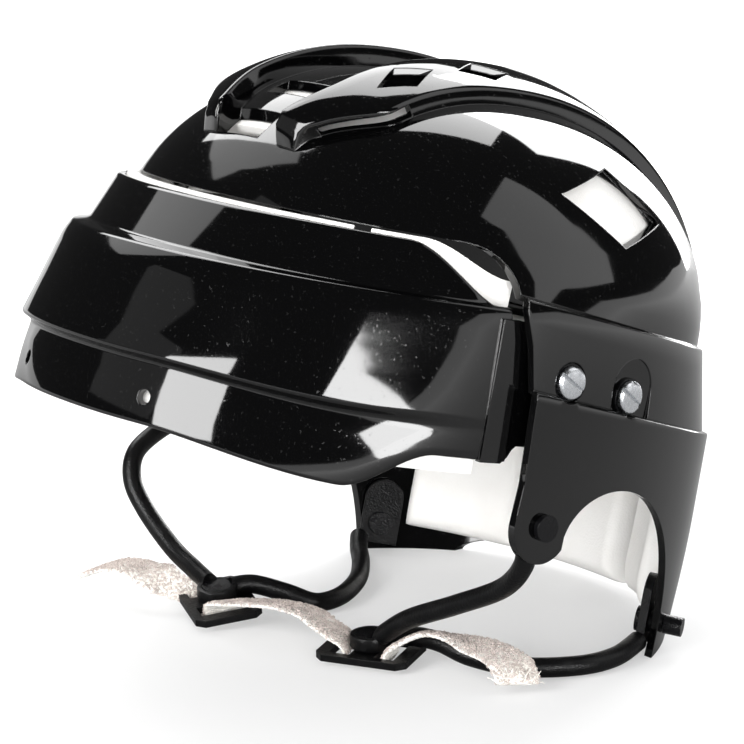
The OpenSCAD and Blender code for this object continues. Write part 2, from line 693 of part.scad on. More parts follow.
module foam_of() { color("#eeece6") standing() children(); }
module forehead_pad() { foam_of() front_pad(spread(-42, 42, 14)); }
module left_temple_pad() { foam_of() front_pad(spread(46, 80, 9)); }
module right_temple_pad() { foam_of() mirror([1, 0, 0]) front_pad(spread(46, 80, 9)); }
module left_side_pad() { foam_of() side_pad(spread(80, 131, 9)); }
module right_side_pad() { foam_of() mirror([1, 0, 0]) side_pad(spread(80, 131, 9)); }
module nape_pad() { foam_of() rear_pad(spread(169, 191, 7)); }
module left_rear_pad() { foam_of() rear_pad(spread(138, 163, 8)); }
module right_rear_pad() { foam_of() mirror([1, 0, 0]) rear_pad(spread(138, 163, 8)); }

// Sweeps: a section carried along a smooth curve without twisting

function unit(v) = v / norm(v);
function curve_at(p, i, f) = let (
        a = p[max(i - 1, 0)], b = p[i], c = p[i + 1], d = p[min(i + 2, len(p) - 1)])
    0.5 * (2 * b + (c - a) * f + (2 * a - 5 * b + 4 * c - d) * f * f
        + (3 * b - a - 3 * c + d) * f * f * f);
function curve(p, n) = concat(
    [for (i = [0:len(p) - 2]) for (k = [0:n - 1]) curve_at(p, i, k / n)], [p[len(p) - 1]]);
function heading(p, i) = unit(p[min(i + 1, len(p) - 1)] - p[max(i - 1, 0)]);
function square_to(v, t) = unit(v - (v * t) * t);
function section_at(p, u, w, shape) = [for (s = shape) p + s[0] * u + s[1] * w];
function sweep_rings(path, shapes, across) = [
    for (i = 0, u = square_to(across, heading(path, 0)); i < len(path);
        i = i + 1, u = i < len(path) ? square_to(u, heading(path, i)) : u)
        section_at(path[i], u, cross(heading(path, i), u), shapes[i])];

function round_section(r) = [for (a = [0:30:330]) r * [cos(a), sin(a)]];
function flat_section(w, t) = [for (a = [0:30:330])
    [w / 2 * sgn_pow(cos(a), 0.4), t / 2 * sgn_pow(sin(a), 0.7)]];

// A tube that thins towards its hub end, which is either its first or its last
module tube(points, thin_first) {
    path = curve(points, 3);
    n = len(path);
    loft(sweep_rings(path, [for (i = [0:n - 1]) let (k = thin_first ? i : n - 1 - i)
        round_section(tube_r * mix(hub_share, 1, smooth(1, 8, k)))], [0, 0.3, 1]));
}

// Harness: jaw loops, buckles and strap, drawn in the standing frame

module on_table() { translate([0, stand_y, 0]) children(); }
function low(p) = [p[0], p[1] * cos(rest_pitch) + p[2] * sin(rest_pitch),
    -p[1] * sin(rest_pitch) + p[2] * cos(rest_pitch) + stand_h];

hub_share = 0.68;
front_plate_gap = 1.1;
rear_plate_gap = 2;
plate_t = 3;
plate_r = 7;
rear_plate_w = 15;
rear_plate_up = 17;
rear_plate_down = 8;

front_anchor = low(front_rivet);
rear_anchor = low(rear_rivet);

module at_front_plate() {
    translate(front_anchor) rotate([-rest_pitch, 0, 0]) rotate([0, -90, 0]) children();
}
module at_rear_plate() {
    translate(rear_anchor) rotate([-rest_pitch, 0, 0]) rotate([0, 0, rear_rivet_turn])
        rotate([0, -90, 0]) children();
}

module plates() {
    bore_r = rivet_r + loose_gap;
    difference() {
        union() {
            at_front_plate() translate([0, 0, front_plate_gap])
                cylinder(r = plate_r, h = plate_t, $fn = 48);
            at_rear_plate() translate([0, 0, rear_plate_gap]) {
                linear_extrude(plate_t) {
                    translate([rear_plate_up - rear_plate_w / 2, 0])
                        circle(d = rear_plate_w, $fn = 48);
                    translate([-rear_plate_down, -rear_plate_w / 2])
                        square([rear_plate_up + rear_plate_down - rear_plate_w / 2,
                            rear_plate_w]);
                }
                translate([0, 0, -rear_plate_gap + 0.6]) cylinder(r = 4, h = plate_t, $fn = 32);
            }
        }
        at_front_plate() cylinder(r = bore_r, h = 20, center = true, $fn = 32);
        at_rear_plate() cylinder(r = bore_r, h = 20, center = true, $fn = 32);
    }
}

// Pivots of the buckles: place and turn of each hub ring
left_pivot = [28.5, -13, 8];
left_turn = [3, 0, 30];
right_pivot = [-44, -28, 10.2];
right_turn = [6, 6, -19];
hub_bore_r = 3;
head_r = 5.4;
head_t = 1.1;
under_gap = 0.35;

module hub() {
    cylinder(r = hub_r, h = hub_t, center = true, $fn = 48);
}
module hub_bore() {
    cylinder(r = hub_bore_r + fit_gap, h = 30, center = true, $fn = 32);
    translate([0, 0, hub_t / 2 - head_t - 0.2]) cylinder(r = head_r + 0.3, h = 10, $fn = 48);
}
module at_left_pivot() { translate(left_pivot) rotate(left_turn) children(); }
module at_right_pivot() { translate(right_pivot) rotate(right_turn) children(); }

// Points between two places, each given as the share of the way, then its offset from there
function run(a, b, rows) = [for (r = rows) mix(a, b, r[0]) + [r[1], r[2], r[3]]];
function flip(p) = [-p[0], p[1], p[2]];

left_front_arm = run(front_anchor, left_pivot, [
    [0.08, 1.1, -0, -2.1], [0.15, 5.1, 1, -6.5], [0.3, 6.4, 2.2, -8.2], [0.53, 3.5, 1.1, -5.4],
    [0.78, 1.2, 0.7, -1], [0.93, 1, -0.1, -0.6], [0.97, 0.6, -0.2, -0.5]]);
left_rear_arm = run(left_pivot, rear_anchor, [
    [0.04, 0.4, 0, 0.2], [0.14, 2.3, -1.7, 0.6], [0.23, 5.7, -3.6, -1], [0.33, 11.5, -6.9, -4],
    [0.48, 20.8, -12, -5.2], [0.68, 21.6, -12.5, -5.7], [0.82, 15.4, -8.7, -5.8],
    [0.92, 5.2, -2.4, -4.7]]);
right_front_arm = run(flip(front_anchor), right_pivot, [
    [0.11, -1.8, 2.3, -2.2], [0.13, -3, -4.3, -1.4], [0.24, -7.5, -15.7, -1.8],
    [0.36, -10.6, -17.9, -4.5], [0.5, -11.4, -14.1, -6.7], [0.7, -9, -8, -6.5],
    [0.85, -4.5, -3.5, -4], [0.96, -1.5, -0.9, -0.9]]);
right_rear_arm = run(right_pivot, flip(rear_anchor), [
    [0.04, 2.4, 0.9, 1], [0.1, 7.6, 2.8, 1.2], [0.17, 17.1, 5.6, -2.3], [0.21, 25.5, 9.5, -5.7],
    [0.33, 27.8, 10.2, -6.3], [0.52, 22.6, 7.7, -6.4], [0.69, 12.7, 4.3, -6.4],
    [0.83, 1.8, 1, -5.9], [0.92, -4, -1.2, -4.9]]);

module left_jaw_loop() {
    color("#161618") on_table() difference() {
        union() {
            plates();
            tube(left_front_arm, false);
            tube(left_rear_arm, true);
            at_left_pivot() hub();
        }
        at_left_pivot() hub_bore();
    }
}

module right_jaw_loop() {
    color("#161618") on_table() difference() {
        union() {
            mirror([1, 0, 0]) plates();
            tube(right_front_arm, false);
            tube(right_rear_arm, true);
            at_right_pivot() hub();
        }
        at_right_pivot() hub_bore();
    }
}

// Rivet through the shell's wall and a plate, with a head at both ends
module loop_rivet(outer_r, outer_h, plate_gap) {
    translate([0, 0, -wall - outer_h - 0.2]) cylinder(r = outer_r, h = outer_h, $fn = 48);
    translate([0, 0, -wall - 0.3])
        cylinder(r = rivet_r, h = wall + plate_gap + plate_t + 0.9, $fn = 32);
    translate([0, 0, plate_gap + plate_t + 0.5]) cylinder(r = rivet_head_r, h = 1.4, $fn = 48);
}

module front_loop_rivets() {
    color("#202022") on_table() both_sides() at_front_plate()
        loop_rivet(rivet_head_r, 2, front_plate_gap);
}

module rear_loop_rivets() {
    color("#202022") on_table() both_sides() at_rear_plate()
        loop_rivet(boss_r, boss_h, rear_plate_gap);
}

buckle_bar_w = 9;
buckle_slot_l = 7.6;
buckle_slot_w = 19;
buckle_corner = 3;
buckle_top = -hub_t / 2 - under_gap;

module buckle() {
    x = buckle_l / 2;
    y = buckle_w / 2;
    c = buckle_corner;
    slot_x = buckle_bar_w / 2 + buckle_slot_l / 2;
    translate([0, 0, buckle_top - buckle_t]) linear_extrude(buckle_t) difference() {
        polygon([[-x + c, -y], [x - c, -y], [x, -y + c], [x, y - c], [x - c, y], [-x + c, y],
            [-x, y - c], [-x, -y + c]]);
        for (side = [-1, 1]) translate([side * slot_x, 0])
            square([buckle_slot_l, buckle_slot_w], center = true);
        circle(r = hub_bore_r + fit_gap, $fn = 32);
    }
}

module left_buckle() { color("#161618") on_table() at_left_pivot() buckle(); }
module right_buckle() { color("#161618") on_table() at_right_pivot() buckle(); }

module hub_rivet() {
    translate([0, 0, hub_t / 2 - head_t]) cylinder(r = head_r, h = head_t, $fn = 48);
    translate([0, 0, buckle_top - buckle_t])
        cylinder(r = hub_bore_r, h = hub_t + buckle_t + under_gap - 0.5, $fn = 32);
}

module left_buckle_rivet() { color("#202022") on_table() at_left_pivot() hub_rivet(); }
module right_buckle_rivet() { color("#202022") on_table() at_right_pivot() hub_rivet(); }

// Cotton strap: a flat ribbon that narrows to each of its ends
function taper(i, n) = mix(0.55, 1, min(smooth(0, 4, i), smooth(0, 4, n - 1 - i)));
module ribbon(points, across) {
    path = curve(points, 3);
    n = len(path);
    loft(sweep_rings(path,
        [for (i = [0:n - 1]) flat_section(strap_w * taper(i, n), strap_t)], across));
}

module chin_strap_middle() {
    color("#e9e4da") on_table() ribbon(run(right_pivot, left_pivot, [
        [0.14, 0.9, -5.6, -1.5], [0.23, 1.3, -6.9, 0.7], [0.35, 1.6, -6.2, 2.6], [0.5, 0.8, -4, 4.5],
        [0.65, 0.9, -3.2, 3.8], [0.76, 0.9, -3.7, 1.1], [0.85, 0.4, -3.8, -1.7]]), [-0.3, 1, 0]);
}

module left_strap_tail() {
    color("#e9e4da") on_table() ribbon(run(left_pivot, rear_anchor, [
        [0.18, 5.3, -3.4, 5.1], [0.25, 8.7, -4.7, 3.8], [0.34, 13, -8.2, 1.7], [0.4, 19, -11.5, 1.2],
        [0.44, 24.9, -14.5, 0.9], [0.47, 29.9, -17.6, 0.4]]), [-0.6, 0.8, 0]);
}

module right_strap_tail() {
    color("#e9e4da") on_table() ribbon(run(right_pivot, flip(front_anchor), [
        [0.11, -10, -9.6, -7.2], [0.18, -12.6, -13.2, -8.7], [0.26, -16.6, -16.6, -12.2],
        [0.33, -23.1, -20.7, -17.2], [0.37, -29.6, -24.6, -23.4], [0.38, -35, -26.8, -28.5]]),
        [0.2, -1, 0]);
}

rear_shell();
front_shell();
clamp_screws();
screw_washers();
clamp_nuts();
forehead_pad();
left_temple_pad();
right_temple_pad();
crown_pad();
left_side_pad();
right_side_pad();
nape_pad();
left_rear_pad();
right_rear_pad();
left_jaw_loop();
right_jaw_loop();
front_loop_rivets();
rear_loop_rivets();
left_buckle();
right_buckle();
left_buckle_rivet();
right_buckle_rivet();
chin_strap_middle();
left_strap_tail();
right_strap_tail();
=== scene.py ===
"""Looks of a two-piece ice hockey helmet that stands on its rear tabs and chin harness.

The shells are worked out in millimetres with the brim level, in the shells' own frame, and
are then tipped back and raised into the row frame, which is in metres.
"""

from __future__ import annotations

import logging
import math
from dataclasses import dataclass
from enum import Enum
from typing import Callable, Iterable, Optional, Sequence, Union

import bmesh
import bpy
import numpy as np
from mathutils import Matrix, Vector


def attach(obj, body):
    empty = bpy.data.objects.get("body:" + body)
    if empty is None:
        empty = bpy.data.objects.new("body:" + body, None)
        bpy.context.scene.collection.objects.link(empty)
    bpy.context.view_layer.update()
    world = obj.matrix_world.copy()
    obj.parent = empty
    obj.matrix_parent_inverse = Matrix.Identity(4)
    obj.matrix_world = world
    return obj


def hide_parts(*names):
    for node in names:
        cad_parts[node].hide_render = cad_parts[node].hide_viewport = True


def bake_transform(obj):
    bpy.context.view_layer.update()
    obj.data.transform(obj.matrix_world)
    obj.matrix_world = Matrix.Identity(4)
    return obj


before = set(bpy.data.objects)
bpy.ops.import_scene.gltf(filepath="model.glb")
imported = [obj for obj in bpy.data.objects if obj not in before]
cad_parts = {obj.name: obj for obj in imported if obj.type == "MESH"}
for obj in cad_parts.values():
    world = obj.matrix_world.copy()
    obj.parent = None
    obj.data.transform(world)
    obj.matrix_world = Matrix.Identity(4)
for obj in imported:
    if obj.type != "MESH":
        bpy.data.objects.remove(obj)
LOG = logging.getLogger("helmet")
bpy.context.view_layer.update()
MM = 0.001
Array = np.ndarray


# Small curves and numbers that every piece uses


def signed_power(v: Array, e: float) -> Array:
    """Power of the size of v, with the sign of v."""
    return np.sign(v) * np.abs(v) ** e


def smooth(lo: float, hi: float, v: Array) -> Array:
    """Smooth share of the way of v from lo to hi.

    Args:
        lo: value at which the share is 0.
        hi: value at which the share is 1.
        v: the values.

    Returns:
        The shares, from 0 to 1.
    """
    f = np.clip((np.asarray(v, float) - lo) / (hi - lo), 0, 1)
    return f * f * (3 - 2 * f)


def mix(a: Array, b: Array, f: Array) -> Array:
    """Value at share f of the way from a to b."""
    return a + (b - a) * f


def spline(points: Sequence[Sequence[float]], steps: int) -> Array:
    """Smooth curve through points.

    Args:
        points: the points that the curve passes through.
        steps: number of steps between two points.

    Returns:
        The curve's points.
    """
    p = np.asarray(points, float)
    out = []
    for i in range(len(p) - 1):
        a, b, c, d = p[max(i - 1, 0)], p[i], p[i + 1], p[min(i + 2, len(p) - 1)]
        for k in range(steps):
            f = k / steps
            out.append(0.5 * (2 * b + (c - a) * f + (2 * a - 5 * b + 4 * c - d) * f * f
                              + (3 * b - a - 3 * c + d) * f ** 3))
    out.append(p[-1])
    return np.array(out)


def rounded_section(points: Array, reach: Sequence[float], steps: int = 4) -> Array:
    """Closed section whose corners are rounded off.

    Args:
        points: corners of many sections at once, as (section, corner, 3).
        reach: how far from each corner its rounding starts.
        steps: points along each rounding, less one.

    Returns:
        The denser sections, as (section, point, 3).
    """
    before = np.roll(points, 1, axis=1) - points
    after = np.roll(points, -1, axis=1) - points
    long_b = np.linalg.norm(before, axis=2, keepdims=True)
    long_a = np.linalg.norm(after, axis=2, keepdims=True)
    r = np.asarray(reach, float)[None, :, None]
    a = points + before / np.maximum(long_b, 1e-9) * np.minimum(r, 0.46 * long_b)
    b = points + after / np.maximum(long_a, 1e-9) * np.minimum(r, 0.46 * long_a)
    rows = []
    for i in range(points.shape[1]):
        for k in range(steps + 1):
            f = k / steps
            rows.append((1 - f) ** 2 * a[:, i] + 2 * f * (1 - f) * points[:, i] + f * f * b[:, i])
    return np.stack(rows, axis=1)


@dataclass(frozen=True)
class Stance:
    """How the helmet stands: tipped back, raised and shifted over the origin."""

    pitch: float = 12.0
    height: float = 124.5
    shift: float = -5.8

    def matrix(self) -> Matrix:
        """Matrix from the shells' frame in millimetres to the row frame in metres."""
        move = Matrix.Translation((0, self.shift * MM, self.height * MM))
        return move @ Matrix.Rotation(math.radians(-self.pitch), 4, "X") @ Matrix.Scale(MM, 4)

    def place(self, points: Array) -> Array:
        """Points of the shells' frame, in the row frame."""
        m = np.array(self.matrix())
        return np.asarray(points, float) @ m[:3, :3].T + m[:3, 3]

    def on_table(self, points: Array) -> Array:
        """Points of the harness, which is drawn level in millimetres, in the row frame."""
        return (np.asarray(points, float) + np.array([0, self.shift, 0])) * MM

    def through(self, matrix: Matrix, level: bool = False) -> Callable[[Array], Array]:
        """Way for points from a matrix's own frame to the row frame.

        Args:
            matrix: the matrix, in the shells' frame or the harness's.
            level: whether it is in the harness's level frame.

        Returns:
            A function that places points.
        """
        m = np.array(matrix)
        put = self.on_table if level else self.place
        return lambda p: put(p @ m[:3, :3].T + m[:3, 3])


STANCE = Stance()


def circle(radius: float, height: float, sides: int) -> Array:
    """Ring of points round the local Z."""
    a = np.radians(np.linspace(0, 360, sides, endpoint=False))
    return np.stack([radius * np.cos(a), radius * np.sin(a), np.full(sides, height)], axis=1)


# Meshes and objects


def linked(name: str, data: bpy.types.ID) -> bpy.types.Object:
    """Object with its data, linked to the scene.

    Args:
        name: name of the object.
        data: its mesh, lamp or camera.

    Returns:
        The object.
    """
    obj = bpy.data.objects.new(name, data)
    bpy.context.scene.collection.objects.link(obj)
    return obj


def new_object(name: str, verts: Array, faces: Iterable[Sequence[int]]) -> bpy.types.Object:
    """Object made of vertices in metres and faces.

    Args:
        name: name of the piece.
        verts: the vertices, in the row frame.
        faces: the faces, as lists of vertex numbers.

    Returns:
        The object, linked to the scene.
    """
    mesh = bpy.data.meshes.new(name)
    mesh.from_pydata([tuple(v) for v in np.asarray(verts, float)], [], [tuple(f) for f in faces])
    mesh.update()
    return linked(name, mesh)


def loft(rings: Array, start: Optional[Array] = None,
         end: Optional[Array] = None) -> tuple[Array, list[tuple[int, ...]]]:
    """Closed loft through rings of equal counts.

    Args:
        rings: the rings, as (ring, point, 3).
        start: point that closes the first ring, or None for a flat end.
        end: point that closes the last ring, or None for a flat end.

    Returns:
        The vertices and the faces.
    """
    m, n = rings.shape[:2]
    verts = [rings.reshape(-1, 3)]
    j = np.arange(n)
    k = (j + 1) % n
    faces: list[tuple[int, ...]] = []
    for i in range(m - 1):
        a, b = i * n, (i + 1) * n
        faces += list(zip((a + j).tolist(), (b + j).tolist(), (b + k).tolist(), (a + k).tolist()))
    tip = m * n
    if start is None:
        faces.append(tuple(j.tolist()))
    else:
        verts.append(np.asarray(start, float)[None])
        faces += [(tip, int(x), int(y)) for x, y in zip(j, k)]
        tip += 1
    last = (m - 1) * n
    if end is None:
        faces.append(tuple((last + j[::-1]).tolist()))
    else:
        verts.append(np.asarray(end, float)[None])
        faces += [(tip, int(last + y), int(last + x)) for x, y in zip(j, k)]
    return np.concatenate(verts), faces


def lofted(name: str, rings: Array, start: Optional[Array] = None,
           end: Optional[Array] = None, place: Optional[Callable[[Array], Array]] = None,
           ) -> bpy.types.Object:
    """Object made of a closed loft, with its faces outwards.

    Args:
        name: name of the piece.
        rings: the rings in millimetres, as (ring, point, 3).
        start: point that closes the first ring, or None for a flat end.
        end: point that closes the last ring, or None for a flat end.
        place: how a point gets into the row frame, by default the stance's place.

    Returns:
        The object.
    """
    verts, faces = loft(rings, start, end)
    obj = new_object(name, (place or STANCE.place)(verts), faces)
    face_outwards(obj)
    return obj


def face_outwards(obj: bpy.types.Object) -> None:
    """Merges doubles and points the faces of a closed mesh outwards.

    Args:
        obj: the object.
    """
    bm = bmesh.new()
    bm.from_mesh(obj.data)
    bmesh.ops.remove_doubles(bm, verts=bm.verts, dist=1e-7)
    bmesh.ops.recalc_face_normals(bm, faces=bm.faces)
    if bm.calc_volume(signed=True) < 0:
        bmesh.ops.reverse_faces(bm, faces=bm.faces)
    bm.to_mesh(obj.data)
    bm.free()


class Cut(Enum):
    """What a tool does to a piece."""

    JOIN = "UNION"
    REMOVE = "DIFFERENCE"


def carve(base: bpy.types.Object, tools: Sequence[bpy.types.Object], cut: Cut) -> None:
    """Applies tools to a closed piece and deletes them.

    Args:
        base: the piece, whose mesh is changed.
        tools: the closed tools.
        cut: what each tool does.
    """
    for tool in tools:
        for solver in ("MANIFOLD", "EXACT"):
            modifier = base.modifiers.new("carve", "BOOLEAN")
            modifier.operation = cut.value
            modifier.solver = solver
            modifier.object = tool
            shape = applied(base)
            base.modifiers.clear()
            if len(shape.polygons) > 3:
                old, base.data = base.data, shape
                bpy.data.meshes.remove(old)
                break
            bpy.data.meshes.remove(shape)
            LOG.warning("%s: %s by %s left nothing", base.name, solver, tool.name)
        discard(tool)
    drop_flaps(base)


def drop_flaps(obj: bpy.types.Object) -> None:
    """Deletes the faces that a cut leaves back to back on the same corners.

    Args:
        obj: the object.
    """
    bm = bmesh.new()
    bm.from_mesh(obj.data)
    found: dict[frozenset, list[bmesh.types.BMFace]] = {}
    for face in bm.faces:
        found.setdefault(frozenset(face.verts), []).append(face)
    flaps = [face for same in found.values() if len(same) > 1 for face in same]
    if flaps:
        bmesh.ops.delete(bm, geom=flaps, context="FACES")
        bm.to_mesh(obj.data)
    bm.free()


def applied(obj: bpy.types.Object) -> bpy.types.Mesh:
    """Mesh of an object with its modifiers applied."""
    return bpy.data.meshes.new_from_object(
        obj.evaluated_get(bpy.context.evaluated_depsgraph_get()))


def bake_modifiers(obj: bpy.types.Object) -> None:
    """Applies an object's modifiers to its mesh and removes them.

    Args:
        obj: the object.
    """
    shape = applied(obj)
    obj.modifiers.clear()
    old, obj.data = obj.data, shape
    shape.name = obj.name
    if old.users == 0:
        bpy.data.meshes.remove(old)


def discard(obj: bpy.types.Object) -> None:
    """Deletes an object and its mesh.

    Args:
        obj: the object.
    """
    mesh = obj.data
    bpy.data.objects.remove(obj)
    if mesh.users == 0:
        bpy.data.meshes.remove(mesh)


def joined(name: str, parts: Sequence[bpy.types.Object]) -> bpy.types.Object:
    """One object made of several, which are deleted.

    Args:
        name: name of the new piece.
        parts: the objects, all at the origin.

    Returns:
        The new object.
    """
    bm = bmesh.new()
    for part in parts:
        bm.from_mesh(part.data)
    mesh = bpy.data.meshes.new(name)
    bm.to_mesh(mesh)
    bm.free()
    for part in parts:
        discard(part)
    return linked(name, mesh)


def mirrored(name: str, obj: bpy.types.Object) -> bpy.types.Object:
    """Copy of an object on the other side of the middle plane, with its faces outwards.

    Args:
        name: name of the copy.
        obj: the object.

    Returns:
        The copy.
    """
    mesh = obj.data.copy()
    mesh.transform(Matrix.Scale(-1, 4, (1, 0, 0)))
    mesh.flip_normals()
    return linked(name, mesh)


def shade(obj: bpy.types.Object, degrees: float = 32) -> None:
    """Smooth shading that stays sharp along edges of more than some degrees."""
    obj.data.shade_smooth()
    obj.data.set_sharp_from_angle(angle=math.radians(degrees))


def dress(obj: bpy.types.Object, finish: "Finish", body: str,
          replaces: Sequence[str] = (), degrees: float = 32) -> bpy.types.Object:
    """Gives a finished piece its material and its body, and hides the CAD nodes that it stands for.

    Args:
        obj: the piece.
        finish: its finish.
        body: the CAD body that it rides on, or "" for a piece that rides on none.
        replaces: the CAD nodes that it stands for.
        degrees: edges sharper than this stay sharp.

    Returns:
        The piece.
    """
    shade(obj, degrees)
    obj.data.materials.clear()
    obj.data.materials.append(finish.material())
    if body:
        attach(obj, body)
    if replaces:
        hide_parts(*replaces)
    LOG.info("%s: %d faces, rides on %s", obj.name, len(obj.data.polygons), body)
    return obj


# Finishes


class Drawing:
    """A node tree while it is being drawn."""

    def __init__(self, tree: bpy.types.NodeTree) -> None:
        """Keeps the tree."""
        self.tree = tree

    def feed(self, node: bpy.types.Node, key: Union[int, str], value: object) -> None:
        """Links or sets an input of a node.

        Args:
            node: the node.
            key: the input's number, or its name with _ for a space.
            value: another node's output, a plain value, or None to leave the input alone.
        """
        socket = node.inputs[key.replace("_", " ") if isinstance(key, str) else key]
        if isinstance(value, bpy.types.NodeSocket):
            self.tree.links.new(value, socket)
        elif value is not None:
            socket.default_value = value

    def node(self, kind: str, settings: Optional[dict] = None, *ordered: object,
             **values: object) -> bpy.types.Node:
        """Adds a node.

        Args:
            kind: the node's type.
            settings: the node's own settings.
            *ordered: what goes into its first inputs.
            **values: what goes into other inputs, by name.

        Returns:
            The node.
        """
        made = self.tree.nodes.new(kind)
        for key, value in (settings or {}).items():
            setattr(made, key, value)
        for key, value in [*enumerate(ordered), *values.items()]:
            self.feed(made, key, value)
        return made


class Sheet(Drawing):
    """A material's node tree while it is being drawn."""

    def __init__(self, name: str) -> None:
        """Starts an empty material with a Principled shader.

        Args:
            name: name of the material.
        """
        self.made = bpy.data.materials.new(name)
        self.made.use_nodes = True
        super().__init__(self.made.node_tree)
        self.shader = self.tree.nodes["Principled BSDF"]
        self.place = self.node("ShaderNodeTexCoord").outputs["Object"]

    def math(self, kind: str, a: object, b: object = 0.0) -> bpy.types.NodeSocket:
        """Adds a Math node and returns its output."""
        return self.node("ShaderNodeMath", {"operation": kind}, a, b).outputs[0]

    def noise(self, scale: float, detail: float = 3.0, at: object = None) -> bpy.types.NodeSocket:
        """Adds a noise texture and returns its factor."""
        return self.node("ShaderNodeTexNoise", Vector=at or self.place, Scale=scale,
                         Detail=detail).outputs["Fac"]

    def band(self, factor: bpy.types.NodeSocket, lo: float, hi: float, out_lo: float,
             out_hi: float) -> bpy.types.NodeSocket:
        """Maps a factor from one range to another, clamped, and returns the result."""
        return self.node("ShaderNodeMapRange", Value=factor, From_Min=lo, From_Max=hi,
                         To_Min=out_lo, To_Max=out_hi).outputs["Result"]

    def blend(self, factor: object, a: Sequence[float], b: Sequence[float]) -> bpy.types.NodeSocket:
        """Mixes two colours by a factor and returns the colour."""
        return self.node("ShaderNodeMix", {"data_type": "RGBA"}, Factor=factor, A=(*a, 1),
                         B=(*b, 1)).outputs["Result"]

    def bump(self, height: bpy.types.NodeSocket, strength: float, depth: float,
             normal: Optional[bpy.types.NodeSocket] = None) -> bpy.types.NodeSocket:
        """Adds a bump and returns the normal."""
        return self.node("ShaderNodeBump", Height=height, Strength=strength, Distance=depth,
                         Normal=normal).outputs["Normal"]

    def set(self, **values: object) -> None:
        """Sets inputs of the shader, with _ for a space."""
        for key, value in values.items():
            self.feed(self.shader, key, value)

    def either(self, share: object, a: bpy.types.NodeSocket,
               b: bpy.types.NodeSocket) -> bpy.types.NodeSocket:
        """Mixes two shaders by the share of the second and returns the mixture."""
        return self.node("ShaderNodeMixShader", None, share, a, b).outputs[0]


MADE: dict[str, bpy.types.Material] = {}


@dataclass(frozen=True)
class Finish:
    """A surface finish, drawn as a procedural material when it is first used."""

    name: str
    slot: str

    def material(self) -> bpy.types.Material:
        """The material, made once.

        Returns:
            The material.
        """
        if self.name not in MADE:
            sheet = Sheet(self.name)
            self.draw(sheet)
            MADE[self.name] = sheet.made
        return MADE[self.name]

    def draw(self, sheet: Sheet) -> None:
        """Draws the finish on a sheet."""
        raise NotImplementedError


@dataclass(frozen=True)
class MouldedGloss(Finish):
    """Moulded black plastic with a high gloss, faint flow waves and dust."""

    colour: tuple[float, float, float] = (0.0009, 0.0009, 0.001)
    roughness: float = 0.045
    dust: tuple[float, float, float] = (0.03, 0.03, 0.03)
    wave: float = 0.00006
    edge: float = 0.0006

    def draw(self, sheet: Sheet) -> None:
        """Draws the gloss, its waves, its dust and its rounded edges.

        Args:
            sheet: the sheet.
        """
        flow = sheet.noise(11.0, 1.5)
        fine = sheet.noise(70.0, 2.0)
        dust = sheet.band(sheet.noise(900.0, 2.0), 0.66, 0.72, 0.0, 1.0)
        rubbed = sheet.band(sheet.noise(24.0, 5.0), 0.45, 0.75, 0.0, 0.05)
        rough = sheet.math("ADD", rubbed, self.roughness)
        rough = sheet.math("ADD", rough, sheet.math("MULTIPLY", dust, 0.12))
        tint = sheet.blend(sheet.math("MULTIPLY", dust, 0.25), self.colour, self.dust)
        edge = sheet.node("ShaderNodeBevel", {"samples": 6}, Radius=self.edge).outputs["Normal"]
        waves = sheet.bump(flow, 1.0, self.wave * 6, edge)
        waves = sheet.bump(fine, 1.0, self.wave * 0.35, waves)
        sheet.set(Base_Color=tint, Roughness=rough, Normal=waves, IOR=1.6)


@dataclass(frozen=True)
class SoftPlastic(Finish):
    """Extruded or moulded soft plastic with a satin skin."""

    colour: tuple[float, float, float] = (0.0015, 0.0015, 0.0017)
    roughness: float = 0.3
    grain: float = 0.00003
    specular: float = 0.28
    scuffed: tuple[float, float, float] = (0.007, 0.007, 0.0075)
    edge: float = 0.0004

    def draw(self, sheet: Sheet) -> None:
        """Draws the satin skin, its grain and its scuffs.

        Args:
            sheet: the sheet.
        """
        grain = sheet.noise(1400.0, 2.0)
        scuff = sheet.band(sheet.noise(160.0, 4.0), 0.5, 0.72, 0.0, 0.18)
        edge = sheet.node("ShaderNodeBevel", {"samples": 4}, Radius=self.edge).outputs["Normal"]
        sheet.set(Base_Color=sheet.blend(scuff, self.colour, self.scuffed),
                  Roughness=sheet.math("ADD", scuff, self.roughness),
                  Normal=sheet.bump(grain, 0.6, self.grain * 10, edge),
                  Specular_IOR_Level=self.specular)


@dataclass(frozen=True)
class BrightZinc(Finish):
    """Bright zinc plate with turning marks and dull spots."""

    colour: tuple[float, float, float] = (0.8, 0.82, 0.85)
    roughness: float = 0.22
    dull: tuple[float, float, float] = (0.66, 0.68, 0.71)
    edge: float = 0.0003

    def draw(self, sheet: Sheet) -> None:
        """Draws the plate, its marks and its spots.

        Args:
            sheet: the sheet.
        """
        marks = sheet.noise(2600.0, 3.0)
        spots = sheet.band(sheet.noise(700.0, 3.0), 0.4, 0.7, 0.0, 1.0)
        edge = sheet.node("ShaderNodeBevel", {"samples": 4}, Radius=self.edge).outputs["Normal"]
        sheet.set(Base_Color=sheet.blend(spots, self.colour, self.dull), Metallic=1.0,
                  Roughness=sheet.math("ADD", sheet.math("MULTIPLY", spots, 0.16), self.roughness),
                  Normal=sheet.bump(marks, 0.4, 0.00003, edge))


